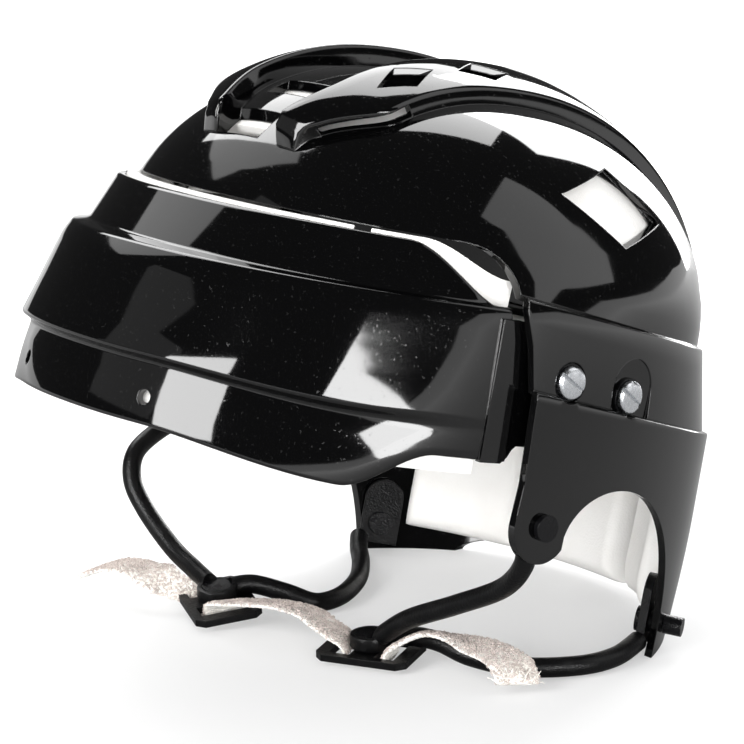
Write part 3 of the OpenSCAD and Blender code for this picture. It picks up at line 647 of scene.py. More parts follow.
@dataclass(frozen=True)
class ClosedFoam(Finish):
    """Off-white closed-cell foam with a fine skin."""

    colour: tuple[float, float, float] = (0.88, 0.87, 0.85)
    shade: tuple[float, float, float] = (0.8, 0.78, 0.75)

    def draw(self, sheet: Sheet) -> None:
        """Draws the skin, its cells and its faint soiling.

        Args:
            sheet: the sheet.
        """
        cells = sheet.node("ShaderNodeTexVoronoi", Vector=sheet.place, Scale=1100.0).outputs[0]
        soil = sheet.band(sheet.noise(40.0, 4.0), 0.4, 0.75, 0.0, 0.7)
        sheet.set(Base_Color=sheet.blend(soil, self.colour, self.shade), Roughness=0.75,
                  Normal=sheet.bump(cells, 0.35, 0.0002))


@dataclass(frozen=True)
class KnitCotton(Finish):
    """Unbleached knitted cotton with a fluffy face."""

    colour: tuple[float, float, float] = (0.86, 0.84, 0.79)
    shade: tuple[float, float, float] = (0.74, 0.7, 0.64)

    def draw(self, sheet: Sheet) -> None:
        """Draws the yarns and their shade.

        Args:
            sheet: the sheet.
        """
        yarn = sheet.node("ShaderNodeTexVoronoi", Vector=sheet.place, Scale=900.0).outputs[0]
        fuzz = sheet.noise(2400.0, 4.0)
        tone = sheet.band(sheet.noise(220.0, 4.0), 0.35, 0.7, 0.0, 1.0)
        sheet.set(Base_Color=sheet.blend(tone, self.colour, self.shade), Roughness=0.95,
                  Normal=sheet.bump(fuzz, 0.7, 0.0004, sheet.bump(yarn, 0.8, 0.0006)),
                  Sheen_Weight=0.35, Sheen_Roughness=0.5)


SHELL = MouldedGloss("black_moulded_gloss", "black_shell")
TUBE = SoftPlastic("black_soft_tube", "black_soft")
FITTING = SoftPlastic("black_fitting", "black_soft", colour=(0.003, 0.003, 0.0035), roughness=0.2)
ZINC = BrightZinc("bright_zinc_plate", "zinc")
FOAM = ClosedFoam("white_closed_foam", "foam")
COTTON = KnitCotton("unbleached_knit", "cotton")
# The loops' finish is a darker, browner copy of the knit on the strap's upper face and edges:
# painted shade of the loop pile.
LOOPS_PAINTED_SHADE = KnitCotton("unbleached_loops_painted_shade", "cotton", (0.64, 0.56, 0.52), (0.46, 0.39, 0.36))


# Patterns


class Pattern(Drawing):
    """A Geometry Nodes tree that grows small shapes on a surface or along a path."""

    def __init__(self, name: str, **sizes: float) -> None:
        """Starts a tree.

        Args:
            name: name of the tree.
            **sizes: its inputs and what they start at, with _ for a space.
        """
        super().__init__(bpy.data.node_groups.new(name, "GeometryNodeTree"))
        rows = self.tree.interface
        rows.new_socket("Geometry", in_out="INPUT", socket_type="NodeSocketGeometry")
        for key, value in sizes.items():
            kind = "NodeSocketInt" if isinstance(value, int) else "NodeSocketFloat"
            row = rows.new_socket(key.replace("_", " "), in_out="INPUT", socket_type=kind)
            row.default_value = value
        rows.new_socket("Geometry", in_out="OUTPUT", socket_type="NodeSocketGeometry")
        self.given = self.tree.nodes.new("NodeGroupInput").outputs
        self.out = self.tree.nodes.new("NodeGroupOutput").inputs

    def end(self, shape: bpy.types.NodeSocket, finish: Finish) -> "Pattern":
        """Ends the tree in plain geometry with a finish's material.

        Args:
            shape: the last geometry.
            finish: the finish.

        Returns:
            The pattern.
        """
        real = self.node("GeometryNodeRealizeInstances", Geometry=shape)
        made = self.node("GeometryNodeSetMaterial", Geometry=real.outputs[0],
                         Material=finish.material())
        self.tree.links.new(made.outputs[0], self.out[0])
        return self

    def strewn(self, yarn: bpy.types.NodeSocket, size: object = None) -> bpy.types.NodeSocket:
        """Stands copies of a flat yarn all over the surface, each turned its own way.

        Args:
            yarn: the yarn, drawn in its X and Y.
            size: scale of each copy, or None for 1.

        Returns:
            The copies.
        """
        given = self.given
        spots = self.node("GeometryNodeDistributePointsOnFaces", Mesh=given["Geometry"],
                          Density=given["Density"], Seed=given["Seed"])
        up = self.node("GeometryNodeTransform", Geometry=yarn, Rotation=(math.pi / 2, 0, 0))
        laid = self.node("GeometryNodeInstanceOnPoints", Points=spots.outputs["Points"],
                         Instance=up.outputs[0], Rotation=spots.outputs["Rotation"], Scale=size)
        lean = self.node("ShaderNodeCombineXYZ", X=given["Lean"], Y=given["Lean"], Z=math.pi)
        back = self.node("ShaderNodeVectorMath", {"operation": "SCALE"}, lean.outputs[0],
                         Scale=-1.0)
        spin = self.node("FunctionNodeRandomValue", {"data_type": "FLOAT_VECTOR"},
                         Min=back.outputs[0], Max=lean.outputs[0], Seed=given["Seed"])
        return self.node("GeometryNodeRotateInstances", Instances=laid.outputs[0],
                         Rotation=spin.outputs[0]).outputs[0]

    def grow(self, base: bpy.types.Object, **sizes: float) -> bpy.types.Object:
        """Runs the tree on an object and leaves the result in it as a plain mesh.

        Args:
            base: the surface or path.
            **sizes: values for the tree's inputs.

        Returns:
            The object.
        """
        run = base.modifiers.new(self.tree.name, "NODES")
        run.node_group = self.tree
        ids = {row.name: row.identifier for row in self.tree.interface.items_tree
               if row.in_out == "INPUT"}
        for key, value in sizes.items():
            run[ids[key.replace("_", " ")]] = value
        bake_modifiers(base)
        return base


def bent_tube(finish: Finish) -> Pattern:
    """Tree of a round tube along a path, as thick as the path's girth says.

    Args:
        finish: the material's finish.

    Returns:
        The tree.
    """
    made = Pattern("bent_tube", Radius=0.0035, Sides=28)
    curve = made.node("GeometryNodeMeshToCurve", Mesh=made.given["Geometry"])
    girth = made.node("GeometryNodeInputNamedAttribute", Name="girth")
    sized = made.node("GeometryNodeSetCurveRadius", Curve=curve.outputs[0],
                      Radius=girth.outputs["Attribute"])
    ring = made.node("GeometryNodeCurvePrimitiveCircle", Resolution=made.given["Sides"],
                     Radius=made.given["Radius"])
    tube = made.node("GeometryNodeCurveToMesh", Curve=sized.outputs[0],
                     Profile_Curve=ring.outputs[0], Fill_Caps=True)
    return made.end(tube.outputs[0], finish)


def frayed_yarns(finish: Finish) -> Pattern:
    """Tree of loose bent yarns that stick out of a cut end.

    Args:
        finish: the material's finish.

    Returns:
        The tree.
    """
    made = Pattern("frayed_yarns", Density=4.0e6, Length=0.005, Yarn=0.00016, Lean=0.5, Seed=3)
    given = made.given
    arc = made.node("GeometryNodeCurveArc", Resolution=7, Radius=given["Length"], Sweep_Angle=0.8)
    ring = made.node("GeometryNodeCurvePrimitiveCircle", Resolution=5, Radius=given["Yarn"])
    yarn = made.node("GeometryNodeCurveToMesh", Curve=arc.outputs[0],
                     Profile_Curve=ring.outputs[0], Fill_Caps=True)
    back = made.node("ShaderNodeMath", {"operation": "MULTIPLY"}, given["Length"], -1.0)
    foot = made.node("ShaderNodeCombineXYZ", X=back.outputs[0])
    moved = made.node("GeometryNodeTransform", Geometry=yarn.outputs[0],
                      Translation=foot.outputs[0])
    size = made.node("FunctionNodeRandomValue", {"data_type": "FLOAT"}, None, None, 0.5, 1.3,
                     Seed=given["Seed"])
    return made.end(made.strewn(moved.outputs[0], size.outputs[1]), finish)


def yarn_cover(finish: Finish) -> Pattern:
    """Tree of small yarn loops that stand all over a surface.

    Args:
        finish: the material's finish.

    Returns:
        The tree.
    """
    made = Pattern("yarn_cover", Density=1.0e6, Loop_Size=0.0005, Yarn=0.00014, Sweep=3.6,
                   Lean=0.6, Seed=7)
    arc = made.node("GeometryNodeCurveArc", Resolution=6, Radius=made.given["Loop Size"],
                    Start_Angle=-0.2, Sweep_Angle=made.given["Sweep"])
    ring = made.node("GeometryNodeCurvePrimitiveCircle", Resolution=4, Radius=made.given["Yarn"])
    yarn = made.node("GeometryNodeCurveToMesh", Curve=arc.outputs[0],
                     Profile_Curve=ring.outputs[0], Fill_Caps=True)
    return made.end(made.strewn(yarn.outputs[0]), finish)


# The shells' form


@dataclass(frozen=True)
class ShellForm:
    """Ovals stacked by height that make the crown, the side band and the skirt."""

    wall: float = 3.0
    band_half_w: float = 107.0
    band_rear: float = 132.0
    band_h: float = 28.5
    band_top_z: float = 14.2
    band_slope: float = 0.126
    band_step: float = 2.0
    band_flare: float = 8.0
    band_flare_w: float = 1.2
    taper_start: float = 50.0
    taper_h: float = 68.0
    taper_w: float = 3.2
    taper_rear: float = 3.8
    crown_h: float = 81.0
    crown_y: float = 22.0
    crown_front: float = 72.0
    crown_n: float = 2.25
    crown_rear_n: float = 2.0
    plan_n: float = 2.2

    @property
    def band_bottom_z(self) -> float:
        """Height of the side band's lower line beside the origin."""
        return self.band_top_z - self.band_h

    @property
    def skirt_half_w(self) -> float:
        """Half width at the top of the skirt."""
        return self.band_half_w + self.band_flare_w + self.band_step

    @property
    def skirt_rear(self) -> float:
        """Rear reach at the top of the skirt."""
        return self.band_rear + self.band_flare + self.band_step

    def taper(self, z: Array) -> Array:
        """Share of the skirt's whole taper at height z."""
        return (np.maximum(-z - self.taper_start, 0) / self.taper_h) ** 2

    def oval(self, s: Sequence[Array], t: Array) -> tuple[Array, Array]:
        """Points of an oval.

        Args:
            s: half width, front reach, rear reach and centre.
            t: angles in degrees, 0 at the front and 90 at the wearer's left.

        Returns:
            The x and y of the points.
        """
        r = np.radians(t)
        e = 2 / self.plan_n
        c = np.cos(r)
        return (s[0] * signed_power(np.sin(r), e),
                s[3] - np.where(c >= 0, s[1], s[2]) * signed_power(c, e))

    @staticmethod
    def fullness(v: Array, n: float) -> Array:
        """Share of an oval's full size at share v of the height."""
        return np.maximum(1 - np.maximum(v, 0) ** n, 0) ** (1 / n)

    def dome_oval(self, z: Array, o: float) -> list[Array]:
        """Sizes of the crown's oval at height z, inset by o.

        Args:
            z: the height.
            o: how far it is inset.

        Returns:
            Half width, front reach, rear reach and centre.
        """
        v = z / (self.crown_h - o)
        f = self.fullness(v, self.crown_n)
        c = self.crown_y * np.maximum(z, 0) / self.crown_h
        rear = self.band_rear - self.band_step - self.crown_y - o
        return [(self.band_half_w - self.band_step - o) * f,
                (self.crown_front + self.crown_y - o) * f - self.crown_y + c,
                rear * self.fullness(v, self.crown_rear_n) + self.crown_y - c, c]

    def dome_ring(self, z: float, o: float, t: Array) -> Array:
        """Ring of the crown at height z, tipped to the band's lines.

        Args:
            z: its height.
            o: how far it is inset.
            t: the angles in degrees.

        Returns:
            The ring's points.
        """
        zz = np.full_like(t, z, dtype=float)
        fall = -self.band_slope * (1 - smooth(self.band_top_z, 60, zz))
        high = zz + fall * self.oval(self.dome_oval(zz, o), t)[1]
        x, y = self.oval(self.dome_oval(high, o), t)
        return np.stack([x, y, high], axis=1)

    def band_ring(self, f: float, o: float, t: Array) -> Array:
        """Ring of the side band at share f of its height, inset by o.

        Args:
            f: the share, 0 at the upper line.
            o: how far it is inset.
            t: the angles in degrees.

        Returns:
            The ring's points.
        """
        x, y = self.oval([self.band_half_w + self.band_flare_w * f - o, self.crown_front + 2,
                          self.band_rear + self.band_flare * f - o, 0], t)
        return np.stack([x, y, self.band_top_z - self.band_h * f - self.band_slope * y], axis=1)

    def skirt_ring(self, z: float, o: float, t: Array) -> Array:
        """Ring of the skirt at height z, inset by o.

        Args:
            z: its height.
            o: how far it is inset.
            t: the angles in degrees.

        Returns:
            The ring's points.
        """
        f = self.taper(z)
        x, y = self.oval([self.skirt_half_w - self.taper_w * f - o, self.crown_front + 2,
                          self.skirt_rear - self.taper_rear * f - o, 0], t)
        fall = -self.band_slope * smooth(-100, self.band_bottom_z, np.full_like(y, z))
        return np.stack([x, y, z + fall * y], axis=1)

    def inside(self, p: Array, s: Array) -> Array:
        """Whether points lie in the crown swollen by s.

        Args:
            p: the points.
            s: how far the crown is swollen.

        Returns:
            True for each point inside.
        """
        h = self.crown_h + s
        z = np.maximum(p[..., 2], 0)
        v = np.minimum(z / h, 1)
        f = np.maximum(self.fullness(v, self.crown_n), 1e-6)
        c = self.crown_y * z / h
        half = self.band_half_w - self.band_step
        rear = self.band_rear - self.band_step
        b = np.where(p[..., 1] > c,
                     (rear - self.crown_y + s) * self.fullness(v, self.crown_rear_n)
                     + self.crown_y - c,
                     (self.crown_front + self.crown_y + s) * f - self.crown_y + c)
        b = np.maximum(b, 1e-6)
        sum_of = (np.abs(p[..., 0]) / ((half + s) * f)) ** self.plan_n \
            + (np.abs(p[..., 1] - c) / b) ** self.plan_n
        return (z < h) & (sum_of < 1)

    def on_dome(self, x: Array, a: Array, s: Array) -> Array:
        """Points at which rays in the plane of x leave the swollen crown.

        Args:
            x: the planes.
            a: angles in degrees, 0 to the front and 90 up.
            s: how far the crown is swollen.

        Returns:
            The points.
        """
        x, a, s = np.broadcast_arrays(np.asarray(x, float), np.asarray(a, float),
                                      np.asarray(s, float))
        ca, sa = np.cos(np.radians(a)), np.sin(np.radians(a))
        lo, hi = np.full(x.shape, 10.0), np.full(x.shape, 150.0)
        for _ in range(26):
            m = (lo + hi) / 2
            held = self.inside(np.stack([x, self.crown_y - m * ca, m * sa], axis=-1), s)
            lo, hi = np.where(held, m, lo), np.where(held, hi, m)
        return np.stack([x, self.crown_y - lo * ca, lo * sa], axis=-1)


FORM = ShellForm()
OUTSIDE = 20.0  # height over a wall at which a tool is clear of it
ROUND = 64  # sides of a piece that has to look round


@dataclass(frozen=True)
class CrownRibs:
    """The two hollow ribs that run over the crown."""

    form: ShellForm = FORM
    front_x: float = 22.0
    mid_x: float = 35.0
    front_w: float = 12.0
    mid_w: float = 24.0
    height: float = 8.0
    wall: float = 2.5
    window_l: float = 27.0
    vent_l: float = 16.0
    vent_w: float = 14.0
    start: float = 34.0
    full: float = 51.0
    end: float = 178.0
    tilt: float = 2.6
    window_a: float = 38.0
    vents_a: tuple[float, float] = (59.0, 83.0)

    def middle(self, a: Array) -> Array:
        """Middle of the rib at angle a."""
        return mix(self.front_x, self.mid_x, smooth(self.start, self.full, a))

    def width(self, a: Array) -> Array:
        """Width of the rib at angle a."""
        return mix(self.front_w, self.mid_w, smooth(self.start, self.full, a))

    def lift(self, a: Array) -> Array:
        """Height of the rib at angle a."""
        return self.height - 3 * smooth(110, self.end, a)

    def section(self, a: float, lo: float, hi: float, narrow: float, r: float) -> Array:
        """Section of a rib with rounded upper edges.

        Args:
            a: angle of the section.
            lo: swelling of the crown at the rib's foot.
            hi: swelling at its top.
            narrow: how much each side is drawn in.
            r: radius of the upper edges.

        Returns:
            The section's points.
        """
        x, w = float(self.middle(a)), float(self.width(a)) / 2 - narrow
        turn = np.radians(np.linspace(0, 90, 5))
        u = np.concatenate([[-w - 0.5, -w - 0.1], -w + r * (1 - np.cos(turn)),
                            np.linspace(-w + r, w - r, 5)[1:-1],
                            w - r * (1 - np.cos(turn[::-1])), [w + 0.1, w + 0.5],
                            np.linspace(w, -w, 4)[1:-1]])
        s = np.concatenate([[lo, mix(lo, hi, 0.5)], hi - r * (1 - np.sin(turn)),
                            np.full(3, hi), hi - r * (1 - np.sin(turn[::-1])),
                            [mix(lo, hi, 0.5), lo], [lo, lo]])
        fall = self.tilt * np.clip((s - lo) / max(hi - lo, 0.1), 0, 1) * min(1.0, hi / self.height)
        return self.form.on_dome(x + u, a, s - fall * np.clip((u + w) / (2 * w), 0, 1) ** 1.5)

    def outer(self) -> bpy.types.Object:
        """The rib's outer form, with its sloping prow.

        Returns:
            The closed form.
        """
        prow = [self.section(self.start + k, -1.2, hi, narrow, min(1.2, 0.45 * (hi + 1.2)))
                for k, hi, narrow in ((-1.8, 0.8, 1.5), (-0.4, 3.4, 1.15), (1.2, 6.2, 0.9),
                                      (2.6, self.height - 0.8, 0.8), (3.1, self.height - 0.3, 0.6))]
        angles = np.concatenate([np.arange(self.start + 4, self.end, 1.3), [self.end]])
        strip = [self.section(a, -1.2, float(self.lift(a)), 0, 1.3) for a in angles]
        return lofted("rib_outer", np.array(prow + strip))

    def hollow(self) -> bpy.types.Object:
        """The hollow below the rib.

        Returns:
            The tool.
        """
        angles = np.arange(self.start + 5, self.end - 10, 1.5)
        rings = [self.section(a, -self.form.wall - 2, float(self.lift(a)) - self.wall,
                              self.wall, 0.6) for a in angles]
        return lofted("rib_hollow", np.array(rings))

    def window(self) -> bpy.types.Object:
        """The window through the rib's outer wall, just behind the prow.

        Returns:
            The tool.
        """
        rings = []
        for share in np.linspace(0, 1, 17):
            a = self.window_a + self.window_l * 0.62 * share
            x = float(self.middle(a)) + float(self.width(a)) / 2
            top = mix(3.2, self.height - self.tilt - 1.3, share)
            rings.append(self.form.on_dome(
                np.array([x - self.wall - 1, x - self.wall - 1, x + 3, x + 3]), a,
                np.array([0.4, top, top, 0.4])))
        return lofted("rib_window", np.array(rings))

    def vent(self, a: float) -> bpy.types.Object:
        """A slanted vent through the rib's top.

        Args:
            a: its angle over the crown.

        Returns:
            The tool.
        """
        p = self.form.on_dome(self.middle(a), a, 0.0)
        quad = np.array([[-self.vent_w / 2, 0], [-1, self.vent_l * 0.75], [self.vent_w / 2, 0],
                         [1, -self.vent_l * 0.75]])
        rings = [np.stack([p[0] + quad[:, 0], p[1] + quad[:, 1], np.full(4, p[2] + 5 + h)],
                          axis=1) for h in (-7, 7)]
        return lofted("rib_vent", np.array(rings))

    def on_both_sides(self, make: Callable[[], bpy.types.Object]) -> list[bpy.types.Object]:
        """A tool and its mirror image."""
        tool = make()
        return [tool, mirrored(tool.name, tool)]


def prism(name: str, outline: Array, axis: int, lo: float, hi: float,
          place: Optional[Callable[[Array], Array]] = None) -> bpy.types.Object:
    """Straight prism over an outline.

    Args:
        name: name of the tool.
        outline: the outline's points in the plane across the axis.
        axis: 0, 1 or 2, the axis along which the prism runs.
        lo: where it starts.
        hi: where it ends.
        place: how a point gets into the row frame, by default the stance's place.

    Returns:
        The prism.
    """
    others = [i for i in range(3) if i != axis]
    rings = []
    for at in (lo, hi):
        ring = np.zeros((len(outline), 3))
        ring[:, others] = outline
        ring[:, axis] = at
        rings.append(ring)
    return lofted(name, np.array(rings), place=place)


def drum(name: str, matrix: Matrix, radius: float, lo: float, hi: float,
         sides: int = 48) -> bpy.types.Object:
    """Round bar along a matrix's local Z, from lo to hi.

    Args:
        name: name of the bar.
        matrix: its place, in the shells' frame.
        radius: its radius.
        lo: where it starts.
        hi: where it ends.
        sides: its number of sides.

    Returns:
        The bar.
    """
    rings = np.array([circle(radius, h, sides) for h in (lo, hi)])
    return lofted(name, rings, place=STANCE.through(matrix))


@dataclass(frozen=True)
class Fixings:
    """Where the clamp screws and the harness rivets go through the shells."""

    form: ShellForm = FORM
    screw_r: float = 2.5
    head_r: float = 5.7
    head_h: float = 2.2
    rivet_r: float = 2.0
    bore_reach: float = 12.0
    front_screw: tuple[float, float, float] = (107.0, 10.3, -10.0)
    rear_screw: tuple[float, float, float] = (105.2, 40.8, -13.6)
    rear_turn: float = 8.0
    seat_depth: float = 0.7
    pocket_w: float = 22.0
    pocket_depth: float = 2.4
    tab_y: float = 7.5
    tab_z: float = 58.0
    rear_rivet_y: float = 96.5
    rear_rivet_z: float = 96.0
    slide_gap: float = 0.4
    travel: float = 6.0
    tongue_t: float = 2.6
    nut_r: float = 5.4

    @property
    def washer_r(self) -> float:
        """Radius of a screw's washer."""
        return self.head_r + 0.7

    @property
    def seat_r(self) -> float:
        """Radius of a washer's seat."""
        return self.washer_r + 0.4

    def across(self, at: Sequence[float], turn: float = 0.0) -> Matrix:
        """Matrix whose local Z points out of the helmet's left side at a place."""
        return (Matrix.Translation(at) @ Matrix.Rotation(math.radians(turn), 4, "Z")
                @ Matrix.Rotation(math.radians(90), 4, "Y"))

    def front_axis(self) -> Matrix:
        """Axis of the left front screw."""
        return self.across(self.front_screw)

    def rear_axis(self) -> Matrix:
        """Axis of the left rear screw."""
        return self.across(self.rear_screw, self.rear_turn)

    def tab_axis(self) -> Matrix:
        """Axis of the left front rivet, from the wall's inner face."""
        return self.across((self.form.skirt_half_w - self.form.wall, self.tab_y, -self.tab_z))

    def nape_axis(self) -> Matrix:
        """Axis of the left rear rivet, from the wall's inner face.

        Returns:
            The axis.
        """
        form, n = self.form, self.form.plan_n
        f = float(form.taper(-self.rear_rivet_z))
        half = form.skirt_half_w - form.taper_w * f - form.wall
        back = form.skirt_rear - form.taper_rear * f - form.wall
        share = self.rear_rivet_y / back
        x = half * (1 - share ** n) ** (1 / n)
        turn = math.atan2(share ** (n - 1) / back, (x / half) ** (n - 1) / half)
        return self.across((x, self.rear_rivet_y, -self.rear_rivet_z), math.degrees(turn))

    def tongue_x(self, y: Array) -> Array:
        """Outer face of the tongue at y.

        Args:
            y: places along the tongue.

        Returns:
            The face's distance from the middle.
        """
        form = self.form
        inner = (form.band_half_w - form.wall) * (
            1 - (np.maximum(np.asarray(y, float) + self.travel, 0)
                 / (form.band_rear - form.wall)) ** form.plan_n) ** (1 / form.plan_n)
        return np.minimum(form.band_half_w - 4.4, inner - self.slide_gap)

    def nut_seat(self, screw: Sequence[float], turn: float) -> float:
        """Height of a nut's outer face along its screw's axis.

        Args:
            screw: the screw's place.
            turn: its turn in degrees.

        Returns:
            The height.
        """
        r = math.radians(turn)
        inner = float(self.tongue_x(screw[1] + self.nut_r + self.travel)) - self.tongue_t
        return (inner - self.slide_gap - screw[0] + self.nut_r * math.sin(r)) / math.cos(r)


FIX = Fixings()


@dataclass(frozen=True)
class RearShell:
    """The rear shell: a domed crown with ribs, a side band and a skirt with ear arches."""

    form: ShellForm = FORM
    ribs: CrownRibs = CrownRibs()
    fix: Fixings = FIX
    turns: int = 240
    edge_z: float = 30.0
    edge_y: float = -8.0
    tab_r: float = 12.5
    arch_top: float = 46.0
    arch_rear_y: float = 92.0
    nape_half_w: float = 58.0
    nape_h: float = 9.0
    channel_w: float = 24.0
    channel_l: float = 9.0
    channel_y: tuple[float, float] = (-51.5, -33.5)
    window_y: float = 30.0

    def blank(self) -> bpy.types.Object:
        """The whole shell before it is cut.

        Returns:
            The closed shell.
        """
        form, wall = self.form, self.form.wall
        t = np.arange(self.turns) * 360 / self.turns
        heights = [20, 23, 27] + [math.sin(math.radians(a)) ** (2 / form.crown_n) * form.crown_h
                                  for a in np.arange(22.5, 89.2, 1.15)]
        inner_heights = heights[3::2]
        low = form.band_bottom_z
        skirt = [low - 3, low - 8, -29, -36, -43, -50, -58, -66, -74, -82, -91, -100, -109, -118]
        share = (form.crown_h - wall) / form.crown_h
        inner = [form.dome_ring(z * share, wall, t) for z in inner_heights[::-1]]
        inner.append(form.dome_ring(form.band_top_z - 1, wall, t))
        inner += [form.band_ring(f, wall, t) for f in (0.05, 0.5, 1.03)]
        inner += [form.skirt_ring(z, wall, t) for z in [low - 1.4] + skirt]
        edge = ((0.998, 0.3), (0.985, 0), (0.75, 0), (0.5, 0), (0.25, 0), (0.035, 0),
                (0.012, 0.15), (0.0, 0.6), (-0.004, form.band_step - 0.5))
        outer = [form.skirt_ring(z, 0, t) for z in skirt[::-1]]
        outer += [form.skirt_ring(low - down, o, t) for down, o in ((0.7, 0), (0.2, 0.2), (0, 0.8))]
        outer += [form.band_ring(f, o, t) for f, o in edge]
        outer += [form.dome_ring(z, 0, t) for z in [form.band_top_z + 0.5] + heights]
        tips = np.array([[0, form.crown_y, form.crown_h - wall], [0, form.crown_y, form.crown_h]])
        return lofted("rear_shell_skin", np.array(inner + outer), tips[0], tips[1])

    def face_outline(self) -> Array:
        """Side view of what the shell leaves open: face, front tab and ear arch, as y and z.

        Returns:
            The outline.
        """
        fix, form = self.fix, self.form
        far, ry, rz = 300.0, 17.0, 18.0
        corner = np.array([self.edge_y - 4 - ry, self.edge_z - rz])
        a = np.radians(np.linspace(90, 0, 25))
        turn = corner + np.stack([ry * np.cos(a), rz * np.sin(a)], axis=1)
        down = [[self.edge_y, 0.7], [self.edge_y + 3, form.band_bottom_z], [self.edge_y + 4, -44]]
        b = np.radians(np.arange(180, 325, 4))
        tab = np.stack([fix.tab_y + self.tab_r * np.cos(b), -fix.tab_z + self.tab_r * np.sin(b)],
                       axis=1)
        p = np.array([[fix.tab_y + self.tab_r - 2.2, -fix.tab_z - 3], [24, 10 - self.arch_top],
                      [88, 14 - self.arch_top], [self.arch_rear_y, -112]])
        f = np.linspace(0, 1, 57)[:, None]
        arch = ((1 - f) ** 3 * p[0] + 3 * (1 - f) ** 2 * f * p[1] + 3 * (1 - f) * f * f * p[2]
                + f ** 3 * p[3])
        return np.concatenate([[[-far, self.edge_z]], turn, down, tab, arch,
                               [[self.arch_rear_y, -far], [-far, -far]]])

    def table_tools(self) -> list[bpy.types.Object]:
        """The level cut at the table and the shallow arch at the nape.

        Returns:
            The tools.
        """
        far = 300.0
        level = prism("table", np.array([[-far, -far], [far, -far], [far, far], [-far, far]]),
                      2, -50, 0, STANCE.on_table)
        a = np.radians(np.linspace(0, 180, 49))
        arch = np.stack([self.nape_half_w * np.cos(a), self.nape_h * np.sin(a)], axis=1)
        arch = np.concatenate([arch, [[-self.nape_half_w, -20], [self.nape_half_w, -20]]])
        return [level, prism("nape_arch", arch, 1, 60, far, STANCE.on_table)]

    def pocket(self) -> list[bpy.types.Object]:
        """The arched pocket under the rear screw, with the round seat beside it.

        Returns:
            The tools.
        """
        fix, form = self.fix, self.form
        low = -form.band_bottom_z + form.band_slope * fix.rear_screw[1] + fix.rear_screw[2]
        r = fix.pocket_w / 2
        a = np.radians(np.linspace(90, 270, 33))
        crown = np.stack([-2 + r * np.cos(a), 1.5 + r * np.sin(a)], axis=1)
        lean = form.band_slope * r
        outline = np.concatenate([crown, [[low - lean, 1.5 - r], [low + lean, 1.5 + r]]])
        axis = fix.rear_axis()
        return [prism("pocket", outline, 2, -fix.pocket_depth, OUTSIDE, STANCE.through(axis)),
                drum("pocket_seat", axis, fix.seat_r, -fix.pocket_depth, OUTSIDE)]

    def side_window(self) -> bpy.types.Object:
        """The leaning window in the crown's side.

        Returns:
            The tool.
        """
        quad = np.array([[5.6, 3.9], [30, 12.8], [9, 28.4], [-19.6, 18.7]])
        quad = np.array([self.window_y, 31]) + quad
        rings = [np.stack([x - 0.55 * (quad[:, 1] - 45), quad[:, 0], quad[:, 1]], axis=1)
                 for x in (80.0, 112.0)]
        return lofted("side_window", np.array(rings))

    def channel_vents(self) -> list[bpy.types.Object]:
        """The two vents in the channel between the ribs.

        Returns:
            The tools.
        """
        w, half = self.channel_w / 2, self.channel_l / 2
        return [prism("channel_vent", np.array([[-6 - w, y - half], [-6 + w, y - half],
                                                [-6 + w, y + half], [-6 - w, y + half]]),
                      2, 30, 130)
                for y in self.channel_y]

    def build(self) -> bpy.types.Object:
        """Builds the shell.

        Returns:
            The finished shell.
        """
        fix, ribs = self.fix, self.ribs
        shell = self.blank()
        carve(shell, [prism("face", self.face_outline(), 0, -300, 300)], Cut.REMOVE)
        carve(shell, self.table_tools(), Cut.REMOVE)
        carve(shell, ribs.on_both_sides(ribs.outer), Cut.JOIN)
        tools: list[bpy.types.Object] = []
        for make in (ribs.hollow, ribs.window, lambda: ribs.vent(ribs.vents_a[0]),
                     lambda: ribs.vent(ribs.vents_a[1]), self.side_window):
            tools += ribs.on_both_sides(make)
        bores = self.pocket()
        bores.append(drum("front_seat", fix.front_axis(), fix.seat_r, -fix.seat_depth, OUTSIDE))
        for name, axis, r in (("front_bore", fix.front_axis(), fix.screw_r + 0.1),
                              ("rear_bore", fix.rear_axis(), fix.screw_r + 0.1),
                              ("tab_bore", fix.tab_axis(), fix.rivet_r + 0.05),
                              ("nape_bore", fix.nape_axis(), fix.rivet_r + 0.05)):
            bores.append(drum(name, axis, r, -fix.bore_reach, fix.bore_reach))
        for bore in bores:
            tools += [bore, mirrored(bore.name, bore)]
        carve(shell, tools + self.channel_vents(), Cut.REMOVE)
        return dress(shell, SHELL, "rear_shell_body", ["rear_shell"])


